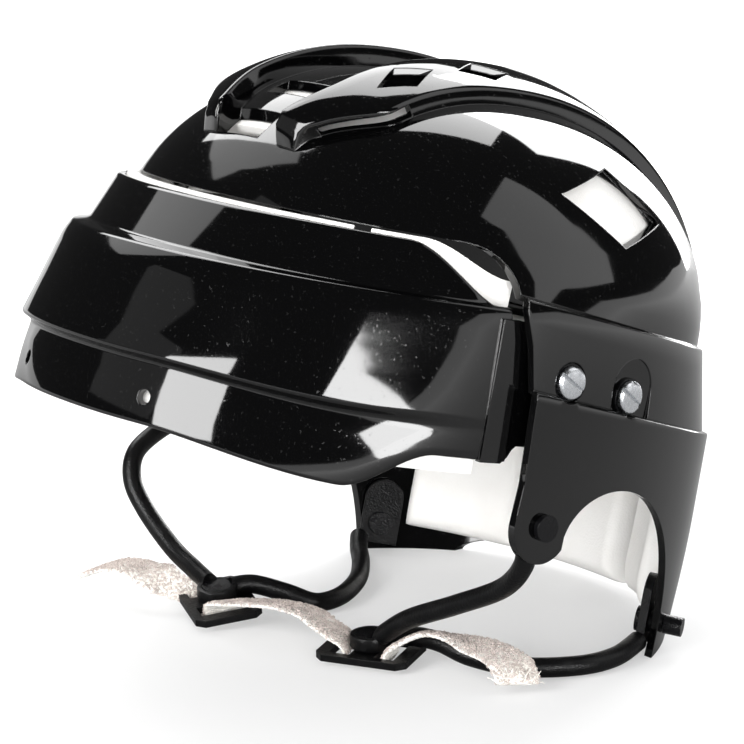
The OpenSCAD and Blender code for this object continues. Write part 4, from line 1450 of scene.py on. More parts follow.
@dataclass(frozen=True)
class FrontShell:
    """The front shell: a stepped brim whose tongues run back inside the rear shell's band."""

    form: ShellForm = FORM
    fix: Fixings = FIX
    half_w: float = 106.4
    reach: float = 119.8
    centre_y: float = 7.3
    top_z: float = 28.5
    upper_z: float = 11.5
    upper_w: float = 7.5
    lower_z: float = 25.8
    lower_rise: float = 3.4
    lower_w: float = 4.0
    bottom_z: float = 52.0
    bottom_rise: float = 7.2
    ear_z: float = 38.5
    end_w: float = 103.2
    side_z: float = 9.8
    hole_r: float = 2.5
    hole_turn: float = 18.0
    hole_z: float = -36.0

    def rows(self) -> Array:
        """Rows of the brim, each as height, half width and reach, outer ones first.

        Returns:
            The rows.
        """
        w, b, wall = self.half_w, self.reach, self.form.wall
        up, low = self.upper_z, self.lower_z
        return np.array([
            [self.top_z, w - 7.7, b - 25.2 - self.upper_w],
            [up + 0.5, w - 6.3, b - 15 - self.upper_w],
            [up - 0.5, w - 4.9, b - 15],
            [up - 5, w - 3.8, b - 11.8],
            [-9, w - 1.8, b - 5.8],
            [0.3 - low, w, b],
            [-2 - low, w - 3.4, b - self.lower_w],
            [-(low + self.bottom_z) / 2, w - 3.1, b - 1.8],
            [-self.bottom_z, w - 3, b - 0.4],
            [-self.bottom_z, w - 3 - wall, b - 0.4 - wall],
            [-(low + self.bottom_z) / 2, w - 3.1 - wall, b - 1.8 - wall],
            [-4 - low, w - 3.4 - wall, b - self.lower_w - wall],
            [2 - low, w - wall, b - wall],
            [-9, w - 1.8 - wall, b - 5.8 - wall],
            [up - 6, w - 4.2 - wall, b - 12.8 - wall],
            [up - 4, w - 4.9 - wall, b - 15 - wall],
            [up - 3, w - 6.3 - wall, b - 15 - self.upper_w - wall],
            [self.top_z, w - 7.7 - wall, b - 25.2 - self.upper_w - wall]])

    def below_step(self, z: Array) -> Array:
        """Share of the way from the lower step down to the lower edge."""
        return np.maximum(-self.lower_z - 2 - z, 0) / (self.bottom_z - self.lower_z - 2)

    def rise(self, z: Array, s: Array) -> Array:
        """How far the rows below the middle rise at share s of the way to the shell's end.

        Args:
            z: heights of the rows.
            s: the shares.

        Returns:
            The rises.
        """
        step = self.lower_rise * np.clip((-9 - z) / (self.lower_z - 9), 0, 1)
        edge = (self.bottom_rise - self.lower_rise) * self.below_step(z)
        return (step + edge) * (1 - smooth(0.2, 0.7, s))

    def row_z(self, z: float, s: Array) -> Array:
        """Height of a row at share s of the way to the shell's end.

        Args:
            z: the row's height in the middle.
            s: the shares.

        Returns:
            The heights.
        """
        if z > self.upper_z + 1:
            return mix(z, self.side_z, smooth(0.72, 1.02, s))
        lift = (self.bottom_z - self.ear_z) * self.below_step(z)
        return z + self.rise(z, s) + lift * smooth(0.66, 0.86, s)

    def station_points(self, s: Array) -> Array:
        """Corners of the sections at shares s of the way to the left end, as (s, row, 3).

        Args:
            s: the shares, negative on the right side.

        Returns:
            The corners.
        """
        n, wall = self.form.plan_n, self.form.wall
        rows = self.rows()
        away = np.abs(s)
        merge = smooth(0.6, 0.95, away)
        out = []
        for i, (z0, w0, b) in enumerate(rows):
            z = self.row_z(z0, away)
            end_w = self.end_w - (0 if i < 9 else wall) - (1.7 if z0 > self.upper_z else 0)
            w = mix(w0, end_w, merge)
            end_y = -13 - 0.14 * z
            t = s * np.arccos(((self.centre_y - end_y) / b) ** (n / 2))
            out.append(np.stack([w * signed_power(np.sin(t), 2 / n),
                                 self.centre_y - b * np.cos(t) ** (2 / n), z], axis=1))
        return np.stack(out, axis=1)

    def brim(self) -> bpy.types.Object:
        """The brim before its bores.

        Returns:
            The closed brim.
        """
        reach = [1.3, 0.9, 0.9, 2.5, 6, 1.3, 1.2, 4, 1.3, 1.3, 4, 1, 1, 5, 2, 1, 1, 1.3]
        sections = rounded_section(self.station_points(np.linspace(-1, 1, 241)), reach)
        return lofted("front_shell_skin", sections)

    def tongue(self) -> bpy.types.Object:
        """The left tongue, which the screws clamp inside the band.

        Returns:
            The tongue.
        """
        ys = np.array([-18, -15, -12, -9.5, -7, -5.5, -4, 0, 4, 8, 12, 16, 20, 27, 34, 41, 48, 54,
                       58], float)
        x, t = self.fix.tongue_x(ys), self.fix.tongue_t
        f = smooth(-9, -4, ys)
        top, low = mix(8, -1, f), mix(-39, -33, f)
        rings = np.stack([np.stack([x - t, ys, low], 1), np.stack([x - t, ys, top], 1),
                          np.stack([x, ys, top], 1), np.stack([x, ys, low], 1)], axis=1)
        return lofted("tongue", rings)

    def slot(self, axis: Matrix) -> bpy.types.Object:
        """The long slot of a screw, along the shell's travel.

        Args:
            axis: the screw's axis.

        Returns:
            The tool.
        """
        r, reach = self.fix.screw_r + 0.2, self.fix.travel + 0.2
        a = np.radians(np.linspace(0, 180, 25))
        outline = np.concatenate([
            np.stack([r * np.cos(a), reach + r * np.sin(a)], axis=1),
            np.stack([r * np.cos(a + math.pi), -reach + r * np.sin(a + math.pi)], axis=1)])
        return prism("slot", outline, 2, -OUTSIDE, OUTSIDE, STANCE.through(axis))

    def visor_hole(self) -> bpy.types.Object:
        """The left visor hole.

        Returns:
            The tool.
        """
        t, n = math.radians(self.hole_turn), self.form.plan_n
        at = ((self.half_w - 3.1) * math.sin(t) ** (2 / n),
              self.centre_y - (self.reach - 1.5) * math.cos(t) ** (2 / n), self.hole_z)
        axis = (Matrix.Translation(at)
                @ Matrix.Rotation(math.radians(self.hole_turn + 0.5), 4, "Z")
                @ Matrix.Rotation(math.radians(90), 4, "X"))
        return drum("visor_hole", axis, self.hole_r, -7, 7)

    def build(self) -> bpy.types.Object:
        """Builds the shell.

        Returns:
            The finished shell.
        """
        shell = self.brim()
        tongue = self.tongue()
        carve(shell, [tongue, mirrored("tongue", tongue)], Cut.JOIN)
        tools = [self.slot(self.fix.front_axis()), self.slot(self.fix.rear_axis()),
                 self.visor_hole()]
        carve(shell, tools + [mirrored(t.name, t) for t in tools], Cut.REMOVE)
        return dress(shell, SHELL, "front_shell_body", ["front_shell"])


# The liner


@dataclass(frozen=True)
class PadSpan:
    """Where a pad starts and ends round the helmet, in degrees from the front."""

    name: str
    lo: float
    hi: float
    mirror: bool = False


@dataclass(frozen=True)
class Liner:
    """Foam pads that line the shells, full in the middle and rounded off at each edge."""

    form: ShellForm = FORM
    front: FrontShell = FrontShell()
    foam: float = 11.0
    gap: float = 0.4
    edge_w: float = 0.14
    rim: float = 0.35
    steps: int = 40

    def edge_soft(self, f: Array) -> Array:
        """Share of the full thickness at share f of a pad's width."""
        e = np.clip(np.minimum(f, 1 - f) / self.edge_w, 0, 1)
        return mix(self.rim, 1.0, np.sqrt(np.maximum(1 - (1 - e) ** 2.2, 0)))

    def front_depth(self, z: Array, t: float, d: Array) -> Array:
        """Points at depth d inside the front shell, at heights z and angle t.

        Args:
            z: the heights.
            t: the angle in degrees.
            d: the depths.

        Returns:
            The points.
        """
        front = self.front
        w, b, low, up = front.half_w, front.reach, front.lower_z, front.upper_z
        skin = np.array([[-front.bottom_z, w - 6, b - 3.6], [-low - 4, w - 6.4, b - 7],
                         [2 - low, w - 3.2, b - 3.2], [-9, w - 4.8, b - 8.8],
                         [up - 6, w - 7.2, b - 15.8], [up - 4.6, w - 9.3, b - 25.5],
                         [front.top_z, w - 10.7, b - 35.7]])
        n = self.form.plan_n
        width = np.interp(z, skin[:, 0], skin[:, 1])
        reach = np.interp(z, skin[:, 0], skin[:, 2])
        m = float(smooth(0.6, 0.95, abs(t) / 82))
        width = mix(width, np.minimum(width, self.front.end_w - self.form.wall - 1.7), m)
        r = math.radians(t)
        return np.stack([(width - d) * math.copysign(abs(math.sin(r)) ** (2 / n), t),
                         front.centre_y - (reach - d) * math.cos(r) ** (2 / n),
                         self.front_row(z, t)], axis=1)

    def rear_depth(self, z: Array, t: float, d: Array) -> Array:
        """Points at depth d inside the rear shell's lower part.

        Args:
            z: the heights.
            t: the angle in degrees.
            d: the depths.

        Returns:
            The points.
        """
        form, wall = self.form, self.form.wall
        tt = np.full_like(z, t)
        y = form.band_ring(0.5, wall, np.array([t]))[0, 1]
        f = (form.band_top_z - form.band_slope * y - z) / form.band_h
        g = form.taper(z)
        low = form.band_bottom_z - form.band_slope * y - 1.5
        half = np.where(z > low, form.band_half_w + form.band_flare_w * f,
                        form.skirt_half_w - form.taper_w * g)
        back = np.where(z > low, form.band_rear + form.band_flare * f,
                        form.skirt_rear - form.taper_rear * g)
        front = form.crown_front + 2
        x, yy = form.oval([half - wall - d, front, back - wall - d, 0.0], tt)
        return np.stack([x, yy, z], axis=1)

    def dome_depth(self, z: Array, t: float, d: Array) -> Array:
        """Points at depth d inside the crown.

        Args:
            z: the heights.
            t: the angle in degrees.
            d: the depths.

        Returns:
            The points.
        """
        form, wall = self.form, self.form.wall
        out = []
        for zz, dd in zip(z, d):
            x, y = form.oval(form.dome_oval(np.array([zz]), wall + dd), np.array([t]))
            out.append([x[0], y[0], zz])
        return np.array(out)

    def crowned(self, name: str, ts: Array, z: Array,
                at: Callable[[Array, float, Array], Array]) -> bpy.types.Object:
        """Crowned pad over a patch of shell.

        Args:
            name: name of the piece.
            ts: the stations.
            z: heights of the patch's rows.
            at: the point at heights, a station and depths.

        Returns:
            The pad.
        """
        over = np.concatenate([[0.0], np.cumsum(np.abs(np.diff(z)))])
        rings = []
        for t in ts:
            e = self.edge_soft((t - ts[0]) / (ts[-1] - ts[0])) * self.edge_soft(over / over[-1])
            back = at(z, float(t), np.full(len(z), self.gap))
            face = at(z, float(t), self.gap + self.foam * e)
            rings.append(np.concatenate([back, face[::-1]]))
        return lofted(name, np.array(rings))

    def front_row(self, z: Array, t: float) -> Array:
        """Heights of a front pad's rows at angle t, which follow the brim.

        Args:
            z: heights of the rows in the middle.
            t: the angle in degrees.

        Returns:
            The heights.
        """
        front = self.front
        step, high = front.upper_z - 6, front.top_z + 1
        top = mix(high, front.top_z - 9, float(smooth(58, 80, abs(t))))
        return np.where(z > step, mix(step, top, (z - step) / (high - step)),
                        z + front.rise(z, np.full_like(z, abs(t) / 82)))

    def front_rows(self) -> Array:
        """Rows of a front pad, from its top down.

        Returns:
            The rows' heights in the middle.
        """
        front = self.front
        step = front.upper_z - 6
        return np.concatenate([np.linspace(front.top_z + 1, step + 0.2, 16),
                               np.linspace(step, 8 - front.bottom_z, 27)])

    def build(self) -> None:
        """Builds all the pads."""
        rear_rows = np.concatenate([[-6, -7], np.linspace(-8.5, -91, 34), [-93.5, -95]])
        side_rows = np.concatenate([[60, 59], np.linspace(57.5, 25, 22), [24, 23]])
        groups = (
            ("front_shell_body", self.front_rows(), self.front_depth,
             (PadSpan("forehead_pad", -42, 42), PadSpan("left_temple_pad", 46, 80),
              PadSpan("right_temple_pad", 46, 80, True))),
            ("rear_shell_body", side_rows, self.dome_depth,
             (PadSpan("left_side_pad", 80, 131), PadSpan("right_side_pad", 80, 131, True))),
            ("rear_shell_body", rear_rows, self.rear_depth,
             (PadSpan("nape_pad", 169, 191), PadSpan("left_rear_pad", 138, 163),
              PadSpan("right_rear_pad", 138, 163, True))))
        for body, rows, at, spans in groups:
            for span in spans:
                ts = np.linspace(span.lo, span.hi, self.steps)
                pad = self.crowned(span.name + "_foam", ts, rows, at)
                if span.mirror:
                    pad.data.transform(Matrix.Scale(-1, 4, (1, 0, 0)))
                    pad.data.flip_normals()
                self.finish(pad, span.name, body)
        self.finish(self.crown_pad(), "crown_pad", "rear_shell_body")

    def crown_pad(self) -> bpy.types.Object:
        """The pad under the crown.

        Returns:
            The pad.
        """
        xs, angles = np.linspace(-44, 44, 41), np.linspace(37, 134, 45)
        rings = []
        for a in angles:
            e = self.edge_soft((a - 37) / 97) * self.edge_soft((xs + 44) / 88)
            back = self.form.on_dome(xs, a, np.full(41, -self.form.wall - self.gap))
            face = self.form.on_dome(xs, a, -self.form.wall - self.gap - self.foam * e)
            rings.append(np.concatenate([back, face[::-1]]))
        return lofted("crown_pad_foam", np.array(rings))

    def finish(self, pad: bpy.types.Object, node: str, body: str) -> None:
        dress(pad, FOAM, body, [node], degrees=55)


# The clamp screws


@dataclass(frozen=True)
class ClampHardware:
    """Slotted pan-head screws on black washers."""

    fix: Fixings = FIX
    slot_w: float = 1.2
    slot_turn: float = 62.0

    def head(self, name: str, axis: Matrix, floor: float, nut: float) -> bpy.types.Object:
        """A screw along an axis.

        Args:
            name: name of the screw.
            axis: its axis, from the band's surface outwards.
            floor: height of its washer's seat.
            nut: height of its nut's outer face.

        Returns:
            The screw.
        """
        fix = self.fix
        base = floor + 1.1
        top = base + fix.head_h
        r = fix.head_r
        profile = [(0, nut - 3.5), (fix.screw_r, nut - 3.5), (fix.screw_r, base - 0.02),
                   (r - 0.35, base), (r, base + 0.35)]
        profile += [(r - 1.6 * (1 - math.cos(a)), base + 0.9 + (fix.head_h - 0.9) * math.sin(a))
                    for a in np.radians(np.linspace(0, 78, 9))]
        profile += [(r * 0.45, top + 0.05), (0, top + 0.1)]
        rings = np.array([circle(p, z, ROUND) for p, z in profile[1:-1]])
        place = STANCE.through(axis)
        screw = lofted(name, rings, [0, 0, profile[0][1]], [0, 0, profile[-1][1]], place)
        c, s = math.cos(math.radians(self.slot_turn)), math.sin(math.radians(self.slot_turn))
        bar = np.array([[-9, -self.slot_w / 2], [9, -self.slot_w / 2], [9, self.slot_w / 2],
                        [-9, self.slot_w / 2]]) @ np.array([[c, s], [-s, c]])
        carve(screw, [prism("slot", bar, 2, top - 1.15, top + 3, place)], Cut.REMOVE)
        return screw

    def build(self) -> bpy.types.Object:
        """Builds the four screws as one piece.

        Returns:
            The finished screws.
        """
        fix = self.fix
        front = self.head("front", fix.front_axis(), -fix.seat_depth,
                          fix.nut_seat(fix.front_screw, 0))
        rear = self.head("rear", fix.rear_axis(), -fix.pocket_depth,
                         fix.nut_seat(fix.rear_screw, fix.rear_turn))
        screws = joined("clamp_screw_set", [front, rear, mirrored("front", front),
                                            mirrored("rear", rear)])
        return dress(screws, ZINC, "rear_shell_body", ["clamp_screws"])


# The harness


def ring_frames(path: Array, across: Sequence[float]) -> tuple[Array, Array]:
    """Two directions across a path at each of its points, carried along without twisting.

    Args:
        path: the path's points.
        across: rough direction of the first one at the start.

    Returns:
        The two directions at each point.
    """
    ahead = np.gradient(path, axis=0)
    ahead /= np.linalg.norm(ahead, axis=1, keepdims=True)
    u = np.asarray(across, float)
    us = []
    for t in ahead:
        u = u - (u @ t) * t
        u = u / np.linalg.norm(u)
        us.append(u)
    us = np.array(us)
    return us, np.cross(ahead, us)


@dataclass(frozen=True)
class Run:
    """Points between two places, each as the share of the way and the offset from there."""

    start: tuple[float, float, float]
    end: tuple[float, float, float]
    rows: tuple[tuple[float, float, float, float], ...]

    def points(self) -> Array:
        """The points, in the harness's level frame."""
        rows = np.array(self.rows)
        return mix(np.array(self.start), np.array(self.end), rows[:, :1]) + rows[:, 1:]


def anchor_place(axis: Matrix, side: int) -> tuple[float, float, float]:
    """Place of a rivet in the harness's level frame, on either side."""
    p = Matrix.Scale(1 / MM, 4) @ Stance(shift=0.0).matrix() @ axis.translation
    return (side * p.x, p.y, p.z)


LEFT_TAB, RIGHT_TAB = (anchor_place(FIX.tab_axis(), side) for side in (1, -1))
LEFT_NAPE, RIGHT_NAPE = (anchor_place(FIX.nape_axis(), side) for side in (1, -1))
LEFT_PIVOT = (28.5, -13.0, 8.0)
RIGHT_PIVOT = (-44.0, -28.0, 10.2)


@dataclass(frozen=True)
class JawLoop:
    """A jaw loop: two bent tubes between their plates and the hub of a buckle."""

    name: str
    node: str
    body: str
    side: int
    pivot: tuple[float, float, float]
    turn: tuple[float, float, float]
    front_arm: Run
    rear_arm: Run
    tube_r: float = 3.5
    hub_r: float = 7.5
    hub_t: float = 5.0
    hub_seat_r: float = 5.7
    hub_bore_r: float = 3.05
    plate_r: float = 7.0
    spacer_r: float = 4.0
    plate_bore_r: float = 2.5
    thin: float = 0.68

    def pivot_matrix(self) -> Matrix:
        """Matrix of the hub, in the harness's level frame.

        Returns:
            The matrix.
        """
        rx, ry, rz = (math.radians(v) for v in self.turn)
        return (Matrix.Translation(self.pivot) @ Matrix.Rotation(rz, 4, "Z")
                @ Matrix.Rotation(ry, 4, "Y") @ Matrix.Rotation(rx, 4, "X"))

    def tube(self, run: Run, thin_first: bool) -> bpy.types.Object:
        """A bent tube that thins towards the hub.

        Args:
            run: its path.
            thin_first: whether it starts at the hub.

        Returns:
            The tube.
        """
        path = spline(run.points(), 12)
        n = len(path)
        k = np.arange(n) if thin_first else np.arange(n)[::-1]
        mesh = bpy.data.meshes.new("tube")
        mesh.from_pydata(STANCE.on_table(path).tolist(), [(i, i + 1) for i in range(n - 1)], [])
        girth = mesh.attributes.new("girth", "FLOAT", "POINT")
        girth.data.foreach_set("value", mix(self.thin, 1.0, smooth(4, 32, k)))
        tube = linked("tube", mesh)
        bent_tube(TUBE).grow(tube, Radius=self.tube_r * MM)
        face_outwards(tube)
        return tube

    def local_drum(self, matrix: Matrix, radius: float, lo: float, hi: float,
                   bevel: float = 0.5) -> bpy.types.Object:
        """A round plate or bar in the harness's level frame.

        Args:
            matrix: its place, in the level frame.
            radius: its radius.
            lo: where it starts.
            hi: where it ends.
            bevel: size of its rounded rims.

        Returns:
            The plate or bar.
        """
        levels = [(radius - bevel, lo), (radius - bevel * 0.3, lo + bevel * 0.3),
                  (radius, lo + bevel), (radius, hi - bevel),
                  (radius - bevel * 0.3, hi - bevel * 0.3), (radius - bevel, hi)]
        return lofted("drum", np.array([circle(r, z, ROUND) for r, z in levels]),
                      place=STANCE.through(matrix, level=True))

    def anchor(self, axis: Matrix) -> Matrix:
        """Matrix of a rivet in the level frame, with its local Z into the helmet.

        Args:
            axis: the left rivet's axis, in the shells' frame.

        Returns:
            The matrix.
        """
        stand = Stance(shift=0.0).matrix()
        level = Matrix.Scale(1 / MM, 4) @ stand @ axis
        if self.side < 0:
            flip = Matrix.Scale(-1, 4, (1, 0, 0))
            level = flip @ level @ Matrix.Scale(-1, 4, (1, 0, 0))
        return level @ Matrix.Rotation(math.pi, 4, "Y")

    def plates(self) -> list[bpy.types.Object]:
        """The round front plate and the long rear plate with its spacer.

        Returns:
            The plates and the spacer.
        """
        front = self.anchor(FIX.tab_axis())
        rear = self.anchor(FIX.nape_axis())
        made = [self.local_drum(front, self.plate_r, 1.1, 4.1),
                self.local_drum(rear, self.spacer_r, 0.6, 3.0, 0.2)]
        w, up, down = 7.5, 17.0, 8.0
        sign = 1 if rear[2][0] > 0 else -1
        a = np.radians(np.linspace(-90, 90, 25))
        outline = np.concatenate([np.stack([up - w + w * np.cos(a), w * np.sin(a)], axis=1),
                                  [[-down, w], [-down, -w]]])
        outline[:, 0] *= sign
        made.append(prism("plate", outline, 2, 2, 5, STANCE.through(rear, level=True)))
        return made

    def build(self) -> bpy.types.Object:
        """Builds the loop.

        Returns:
            The finished loop.
        """
        matrix, top = self.pivot_matrix(), self.hub_t / 2
        base = self.local_drum(matrix, self.hub_r, -top, top, 0.7)
        base.name = self.name
        tubes = [self.tube(self.front_arm, False), self.tube(self.rear_arm, True)]
        carve(base, tubes + self.plates(), Cut.JOIN)
        tools = [self.local_drum(matrix, self.hub_seat_r, top - 1.3, top + 6, 0.0),
                 self.local_drum(matrix, self.hub_bore_r, -15, 15, 0.0)]
        for axis in (FIX.tab_axis(), FIX.nape_axis()):
            tools.append(self.local_drum(self.anchor(axis), self.plate_bore_r, -10, 10, 0.0))
        carve(base, tools, Cut.REMOVE)
        return dress(base, TUBE, self.body, [self.node])


LEFT_LOOP = JawLoop(
    "left_jaw_tubes", "left_jaw_loop", "left_loop", 1, LEFT_PIVOT, (3, 0, 30),
    Run(LEFT_TAB, LEFT_PIVOT, (
        (0.08, 1.1, 0, -2.1), (0.15, 5.1, 1, -6.5), (0.3, 6.4, 2.2, -8.2), (0.53, 3.5, 1.1, -5.4),
        (0.78, 1.2, 0.7, -1), (0.93, 1, -0.1, -0.6), (0.97, 0.6, -0.2, -0.5))),
    Run(LEFT_PIVOT, LEFT_NAPE, (
        (0.04, 0.4, 0, 0.5), (0.14, 2.3, -1.7, 1.2), (0.23, 5.7, -3.6, -0.2),
        (0.33, 11.5, -6.9, -4), (0.48, 20.8, -12, -5.2), (0.68, 21.6, -12.5, -5.7),
        (0.82, 15.4, -8.7, -5.8), (0.92, 5.2, -2.4, -4.7))))
RIGHT_LOOP = JawLoop(
    "right_jaw_tubes", "right_jaw_loop", "right_loop", -1, RIGHT_PIVOT, (6, 6, -19),
    Run(RIGHT_TAB, RIGHT_PIVOT, (
        (0.11, -1.8, 2.3, -2.2), (0.13, -3, -4.3, -1.4), (0.24, -7.5, -15.7, -1.8),
        (0.36, -10.6, -17.9, -4.5), (0.5, -11.4, -14.1, -6.7), (0.7, -9, -8, -6.5),
        (0.85, -4.5, -3.5, -4), (0.96, -1.5, -0.9, -0.9))),
    Run(RIGHT_PIVOT, RIGHT_NAPE, (
        (0.04, 2.4, 0.9, 1), (0.1, 7.6, 2.8, 1.2), (0.17, 17.1, 5.6, -2.3),
        (0.21, 25.5, 9.5, -5.7), (0.33, 27.8, 10.2, -6.3), (0.52, 22.6, 7.7, -6.4),
        (0.69, 12.7, 4.3, -6.4), (0.83, 1.8, 1, -5.9), (0.92, -4, -1.2, -4.9))))


@dataclass(frozen=True)
class Stretch:
    """Path of a stretch of the strap: its points, with those in a buckle's slots first."""

    threaded: tuple[tuple[float, float, float], ...]
    run: tuple[tuple[float, float, float], ...]
    loop: JawLoop

    def points(self) -> Array:
        """The points, in the harness's level frame."""
        m = np.array(self.loop.pivot_matrix())
        return np.concatenate([np.array(self.threaded) @ m[:3, :3].T + m[:3, 3], self.run])

    def sideways(self, sign: float) -> Array:
        """Direction along the buckle's slots."""
        return sign * np.array(self.loop.pivot_matrix())[:3, 1]


@dataclass(frozen=True)
class Strap:
    """The knitted cotton chin strap, threaded through both buckles."""

    width: float = 17.0
    thick: float = 1.5
    slim: float = 0.56
    drawn_in: float = 0.86
    loops: float = 1.3e6
    frayed: float = 6.5
    steps: int = 20
    around: int = 72
    right_tail: Stretch = Stretch(
        ((6.0, -3.0, -6.4), (0.0, -3.0, -6.6), (-6.4, -3.4, -6.3), (-9.0, -4.5, -3.4)),
        ((-60.2, -35.2, 9.2), (-67.8, -38.0, 11.6), (-76.7, -40.0, 13.0), (-86.5, -42.6, 12.4),
         (-94.0, -45.3, 10.0), (-99.5, -47.0, 7.0)), RIGHT_LOOP)
    left_tail: Stretch = Stretch(
        ((-6.0, -3.0, -6.2), (0.0, -3.2, -6.3), (6.2, -3.6, -6.2), (8.6, -4.0, -4.0),
         (11.0, -5.0, 0.4)),
        ((47.0, -3.6, 12.8), (56.0, 3.2, 11.8), (65.0, 6.0, 11.0), (74.0, 6.8, 10.4),
         (80.5, 6.6, 9.2), (85.0, 5.6, 6.8), (87.2, 4.2, 4.0)), LEFT_LOOP)
    middle_start: Stretch = Stretch(
        ((7.8, 0.0, -4.8), (9.8, 0.0, -1.4)),
        ((-32.2, -31.4, 9.4), (-26.0, -31.2, 10.8), (-17.0, -29.0, 12.6), (-7.0, -24.8, 13.4)),
        RIGHT_LOOP)
    middle_end: Stretch = Stretch(
        ((-7.8, 0.0, -4.8), (-9.8, 0.0, -1.4)),
        ((17.4, -19.3, 8.2), (12.0, -20.3, 10.0), (3.6, -21.4, 12.6), (-7.0, -24.8, 13.4)),
        LEFT_LOOP)

    def rings(self, path: Array, across: Array, girth: Array, level: Array) -> Array:
        """Cross-sections of the ribbon along a path.

        Args:
            path: the path's points.
            across: direction of the width at the start.
            girth: share of the full width at each point.
            level: how far the width lies level at each point, from 0 to 1.

        Returns:
            The rings in millimetres, as (ring, point, 3).
        """
        u, w = ring_frames(path, across)
        ahead = np.cross(u, w)
        flat = np.cross(ahead, (0.0, 0.0, 1.0))
        flat *= np.sign(np.sum(flat * u, axis=1, keepdims=True))
        u = mix(u, flat / np.maximum(np.linalg.norm(flat, axis=1, keepdims=True), 1e-6),
                level[:, None])
        u /= np.linalg.norm(u, axis=1, keepdims=True)
        w = np.cross(ahead, u)
        i = np.arange(len(path))[:, None]
        a = np.radians(np.linspace(0, 360, self.around, endpoint=False))
        wide = self.width / 2 * signed_power(np.cos(a), 0.4)
        deep = self.thick / 2 * signed_power(np.sin(a), 0.7)
        ribs = 0.22 * np.sin(i * 0.9) * np.sin(wide[None] * 2.6) * (np.abs(np.sin(a))[None] > 0.5)
        return path[:, None] + (wide[None] * girth[:, None])[..., None] * u[:, None] \
            + (deep[None] + ribs)[..., None] * w[:, None]

    def looped(self, name: str, rings: Array) -> bpy.types.Object:
        """The yarn loops on the upper face and along the edges of a ribbon, in the darker knit
        whose colour is painted shade of the loop pile.

        Args:
            name: name of the ribbon.
            rings: the ribbon's rings.

        Returns:
            The loops, as one object.
        """
        face = rings[:, :self.around // 2 + 1]
        n, m = face.shape[:2]
        quads = [(i * m + j, i * m + j + 1, (i + 1) * m + j + 1, (i + 1) * m + j)
                 for i in range(n - 1) for j in range(m - 1)]
        cover = new_object(name + "_loops", STANCE.on_table(face.reshape(-1, 3)), quads)
        return yarn_cover(LOOPS_PAINTED_SHADE).grow(cover, Density=self.loops)

    def tail(self, name: str, node: str, bodies: tuple[str, str], stretch: Stretch,
             sign: float, full: float) -> None:
        """Builds a tail from under the buckle's bar, up through its slot and out to its cut end.

        Args:
            name: name of the piece.
            node: the CAD node that it stands for.
            bodies: the buckle's body and the loop's, on whose tube its free end lies; not used.
            stretch: its path.
            sign: turns the looped face upwards.
            full: number of points from the slot to where it has its full width.
        """
        path = spline(stretch.points(), self.steps)
        i = np.arange(len(path)) / self.steps
        first = len(stretch.threaded)
        girth = mix(self.slim, 1.0, smooth(first - 0.5, first + full, i))
        girth = girth * mix(1.0, self.drawn_in, smooth(len(stretch.points()) - 3, i[-1], i))
        rings = self.rings(path, stretch.sideways(sign), girth, smooth(first, first + 2, i))
        tail = lofted(name, rings, place=STANCE.on_table)
        pieces = [self.looped(name, rings)]
        if sign > 0:
            ring = STANCE.on_table(rings[-1])
            patch = new_object(name + "_fray", ring, [tuple(range(len(ring)))[::-1]])
            pieces.append(frayed_yarns(COTTON).grow(patch, Length=self.frayed * MM, Lean=0.8))
        # The loop cover gets the darker knit, which is painted shade of the loop pile.
        for obj, finish in zip([tail, *pieces], (COTTON, LOOPS_PAINTED_SHADE, COTTON)):
            dress(obj, finish, "", degrees=70)
            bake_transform(obj)
        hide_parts(node)

    def middle(self) -> None:
        """Builds the stretch between the buckles, as a right and a left half."""
        right, left = self.middle_start.points(), self.middle_end.points()
        path = spline(np.concatenate([right, left[-2::-1]]), self.steps)
        i = np.arange(len(path)) / self.steps
        girth = mix(self.drawn_in, 1.0,
                    np.minimum(smooth(0, 1.6, i), smooth(0, 1.6, i[-1] - i)))
        rings = self.rings(path, self.middle_start.sideways(1.0), girth, np.zeros(len(path)))
        half = self.steps * (len(right) - 1)
        for name, part, at, body in (
                ("strap_middle_right_knit", slice(0, half + 1), 54, "right_loop"),
                ("strap_middle_left_knit", slice(half, None), -55, "left_loop")):
            ribbon = lofted(name, rings[part], place=STANCE.on_table)
            cover = self.looped(name, rings[part])
            # The cover gets the darker knit, which is painted shade of the loop pile.
            for obj, finish in ((ribbon, COTTON), (cover, LOOPS_PAINTED_SHADE)):
                dress(obj, finish, "")
                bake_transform(obj)
            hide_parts("chin_strap_middle")

    def build(self) -> None:
        """Builds the whole strap."""
        self.tail("right_tail_knit", "right_strap_tail", ("right_buckle_body", "right_loop"),
                  self.right_tail, -1.0, 1.6)
        self.middle()
        self.tail("left_tail_knit", "left_strap_tail", ("left_buckle_body", "left_loop"),
                  self.left_tail, 1.0, 2.0)


# Studio


def outward(azimuth: float, elevation: float) -> Vector:
    """Direction away from the helmet, by its azimuth and elevation in degrees."""
    az, el = math.radians(azimuth), math.radians(elevation)
    return Vector((math.sin(az) * math.cos(el), -math.cos(az) * math.cos(el), math.sin(el)))


class Lamp(Enum):
    """The studio's soft boxes, seen from the helmet.

    Each value holds the direction's azimuth and elevation, the half width and half height,
    the roll, all in degrees, and the brightness of the box's face. The fill light reaches into
    the helmet and is kept out of its gloss.
    """

    FRONT = (6.0, 20.5, 14.0, 15.0, 0.0, 12.0)
    SIDE = (78.0, 6.0, 20.0, 5.5, -42.0, 15.0)
    FRONT_FILL = (-27.0, 24.0, 17.0, 15.0, 0.0, 0.25)
    REAR_STRIP = (-156.0, 14.0, 12.0, 28.0, 0.0, 9.0)
    REAR_WALL = (-118.0, 47.0, 27.0, 18.0, 0.0, 5.0)
    FAR_SIDE = (-79.0, 42.0, 12.0, 12.0, 0.0, 1.4)
    NEAR_REAR = (134.0, 34.0, 16.0, 27.0, 0.0, 1.2)
    FACE_FILL = (38.0, 6.0, 24.0, 12.0, 0.0, 5.2)


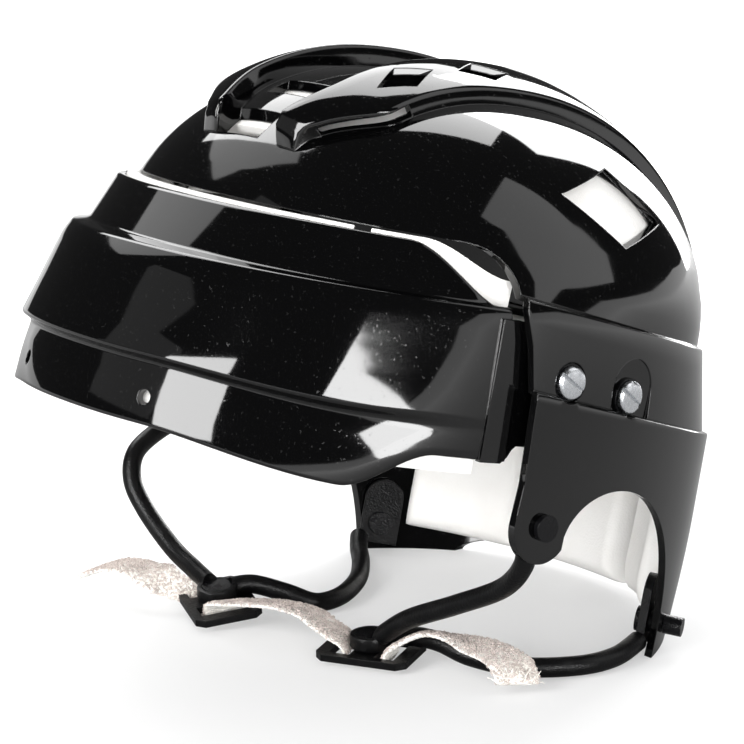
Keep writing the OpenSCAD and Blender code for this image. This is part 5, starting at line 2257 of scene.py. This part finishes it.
@dataclass(frozen=True)
class Studio:
    """Camera, pale floor and soft lamps."""

    eye: tuple[float, float, float] = (0.849976, -0.650107, 0.352528)
    azimuth: float = 52.4518
    elevation: float = 13.4824
    roll: float = 0.1365
    lens: float = 150.43
    lamp_distance: float = 1.6
    room: float = 0.42
    room_in_gloss: float = 0.04
    middle: tuple[float, float, float] = (0.0, -0.02, 0.12)

    def camera(self) -> None:
        """Sets the camera at the photograph's angle."""
        back = outward(self.azimuth, self.elevation)
        side = Vector((0, 0, 1)).cross(back).normalized()
        up = back.cross(side)
        turn = Matrix((side, up, back)).transposed().to_4x4()
        turn = turn @ Matrix.Rotation(math.radians(self.roll), 4, "Z")
        data = bpy.data.cameras.new("view")
        data.lens, data.sensor_width = self.lens, 36.0
        data.clip_start, data.clip_end = 0.05, 50
        camera = linked("view", data)
        camera.matrix_world = Matrix.Translation(self.eye) @ turn
        bpy.context.scene.camera = camera

    def floor(self) -> None:
        """Makes the pale floor, which runs out of view."""
        floor = new_object("floor", np.array([[-8, -8, 0], [8, -8, 0], [8, 8, 0], [-8, 8, 0]]),
                           [(0, 1, 2, 3)])
        sheet = Sheet("pale_floor")
        sheet.set(Base_Color=(0.5, 0.5, 0.5, 1), Roughness=0.9, Specular_IOR_Level=0.0)
        away = sheet.node("ShaderNodeVectorMath", {"operation": "LENGTH"}, sheet.place)
        fade = sheet.band(away.outputs["Value"], 0.25, 0.9, 0.4, 1.0)
        far = sheet.band(away.outputs["Value"], 0.5, 1.5, 0.0, 1.0)
        path = sheet.node("ShaderNodeLightPath").outputs
        lit = sheet.math("ADD", sheet.math("MULTIPLY", fade, path["Is Camera Ray"]),
                         sheet.math("MULTIPLY", far, path["Is Glossy Ray"]))
        glow = sheet.node("ShaderNodeEmission", Color=(1, 1, 1, 1), Strength=lit)
        seen = sheet.math("MAXIMUM", path["Is Camera Ray"], path["Is Glossy Ray"])
        black = sheet.node("ShaderNodeEmission", Strength=0.0)
        black = black.outputs[0]
        pick = sheet.either(seen, black, glow.outputs[0])
        dim = sheet.either(sheet.math("MULTIPLY", path["Is Glossy Ray"], 0.5),
                           sheet.shader.outputs[0], black)
        both = sheet.node("ShaderNodeAddShader", None, dim, pick)
        sheet.feed(sheet.tree.nodes["Material Output"], 0, both.outputs[0])
        floor.data.materials.append(sheet.made)

    def world(self) -> None:
        """Sets a dim room behind a white backdrop that the camera sees."""
        world = bpy.data.worlds.new("studio")
        world.use_nodes = True
        draw = Drawing(world.node_tree)
        draw.tree.nodes.clear()
        path = draw.node("ShaderNodeLightPath").outputs
        level = draw.node("ShaderNodeMapRange", Value=path["Is Glossy Ray"], To_Min=self.room,
                          To_Max=self.room_in_gloss)
        room = draw.node("ShaderNodeBackground", Color=(1, 1, 1, 1),
                         Strength=level.outputs["Result"])
        white = draw.node("ShaderNodeBackground", Color=(1, 1, 1, 1), Strength=1.0)
        pick = draw.node("ShaderNodeMixShader", None, path["Is Camera Ray"], room.outputs[0],
                         white.outputs[0])
        draw.node("ShaderNodeOutputWorld", None, pick.outputs[0])
        bpy.context.scene.world = world

    def lamps(self) -> None:
        """Hangs the soft boxes round the helmet."""
        for lamp in Lamp:
            azimuth, elevation, wide, high, roll, strength = lamp.value
            data = bpy.data.lights.new(lamp.name.lower(), "AREA")
            data.shape = "RECTANGLE"
            data.size = 2 * self.lamp_distance * math.tan(math.radians(wide))
            data.size_y = 2 * self.lamp_distance * math.tan(math.radians(high))
            data.energy = strength * data.size * data.size_y * math.pi
            obj = linked(lamp.name.lower(), data)
            away = outward(azimuth, elevation)
            obj.location = away * self.lamp_distance + Vector(self.middle)
            facing = away.to_track_quat("Z", "Y").to_matrix()
            obj.rotation_euler = (facing @ Matrix.Rotation(math.radians(roll), 3, "Z")).to_euler()
            obj.visible_glossy = lamp is not Lamp.FACE_FILL

    def build(self) -> None:
        """Builds the studio."""
        self.camera()
        self.floor()
        self.world()
        self.lamps()
        settings = bpy.context.scene.view_settings
        settings.view_transform = "Standard"


def dress_cad() -> None:
    """Gives each CAD node that stays its own finish."""
    finishes = {"screw_washers": FITTING, "clamp_nuts": ZINC, "front_loop_rivets": FITTING,
                "rear_loop_rivets": FITTING, "left_buckle": TUBE, "right_buckle": TUBE,
                "left_buckle_rivet": FITTING, "right_buckle_rivet": FITTING}
    for name, finish in finishes.items():
        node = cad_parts[name]
        node.data.materials.clear()
        node.data.materials.append(finish.material())
        LOG.info("%s: keeps its CAD form", name)


def main() -> None:
    """Builds the studio and the helmet's pieces in order."""
    logging.basicConfig(level=logging.INFO, format="%(name)s: %(message)s")
    Studio().build()
    RearShell().build()
    FrontShell().build()
    Liner().build()
    ClampHardware().build()
    for loop in (LEFT_LOOP, RIGHT_LOOP):
        loop.build()
    Strap().build()
    dress_cad()


if __name__ == "__main__":
    main()
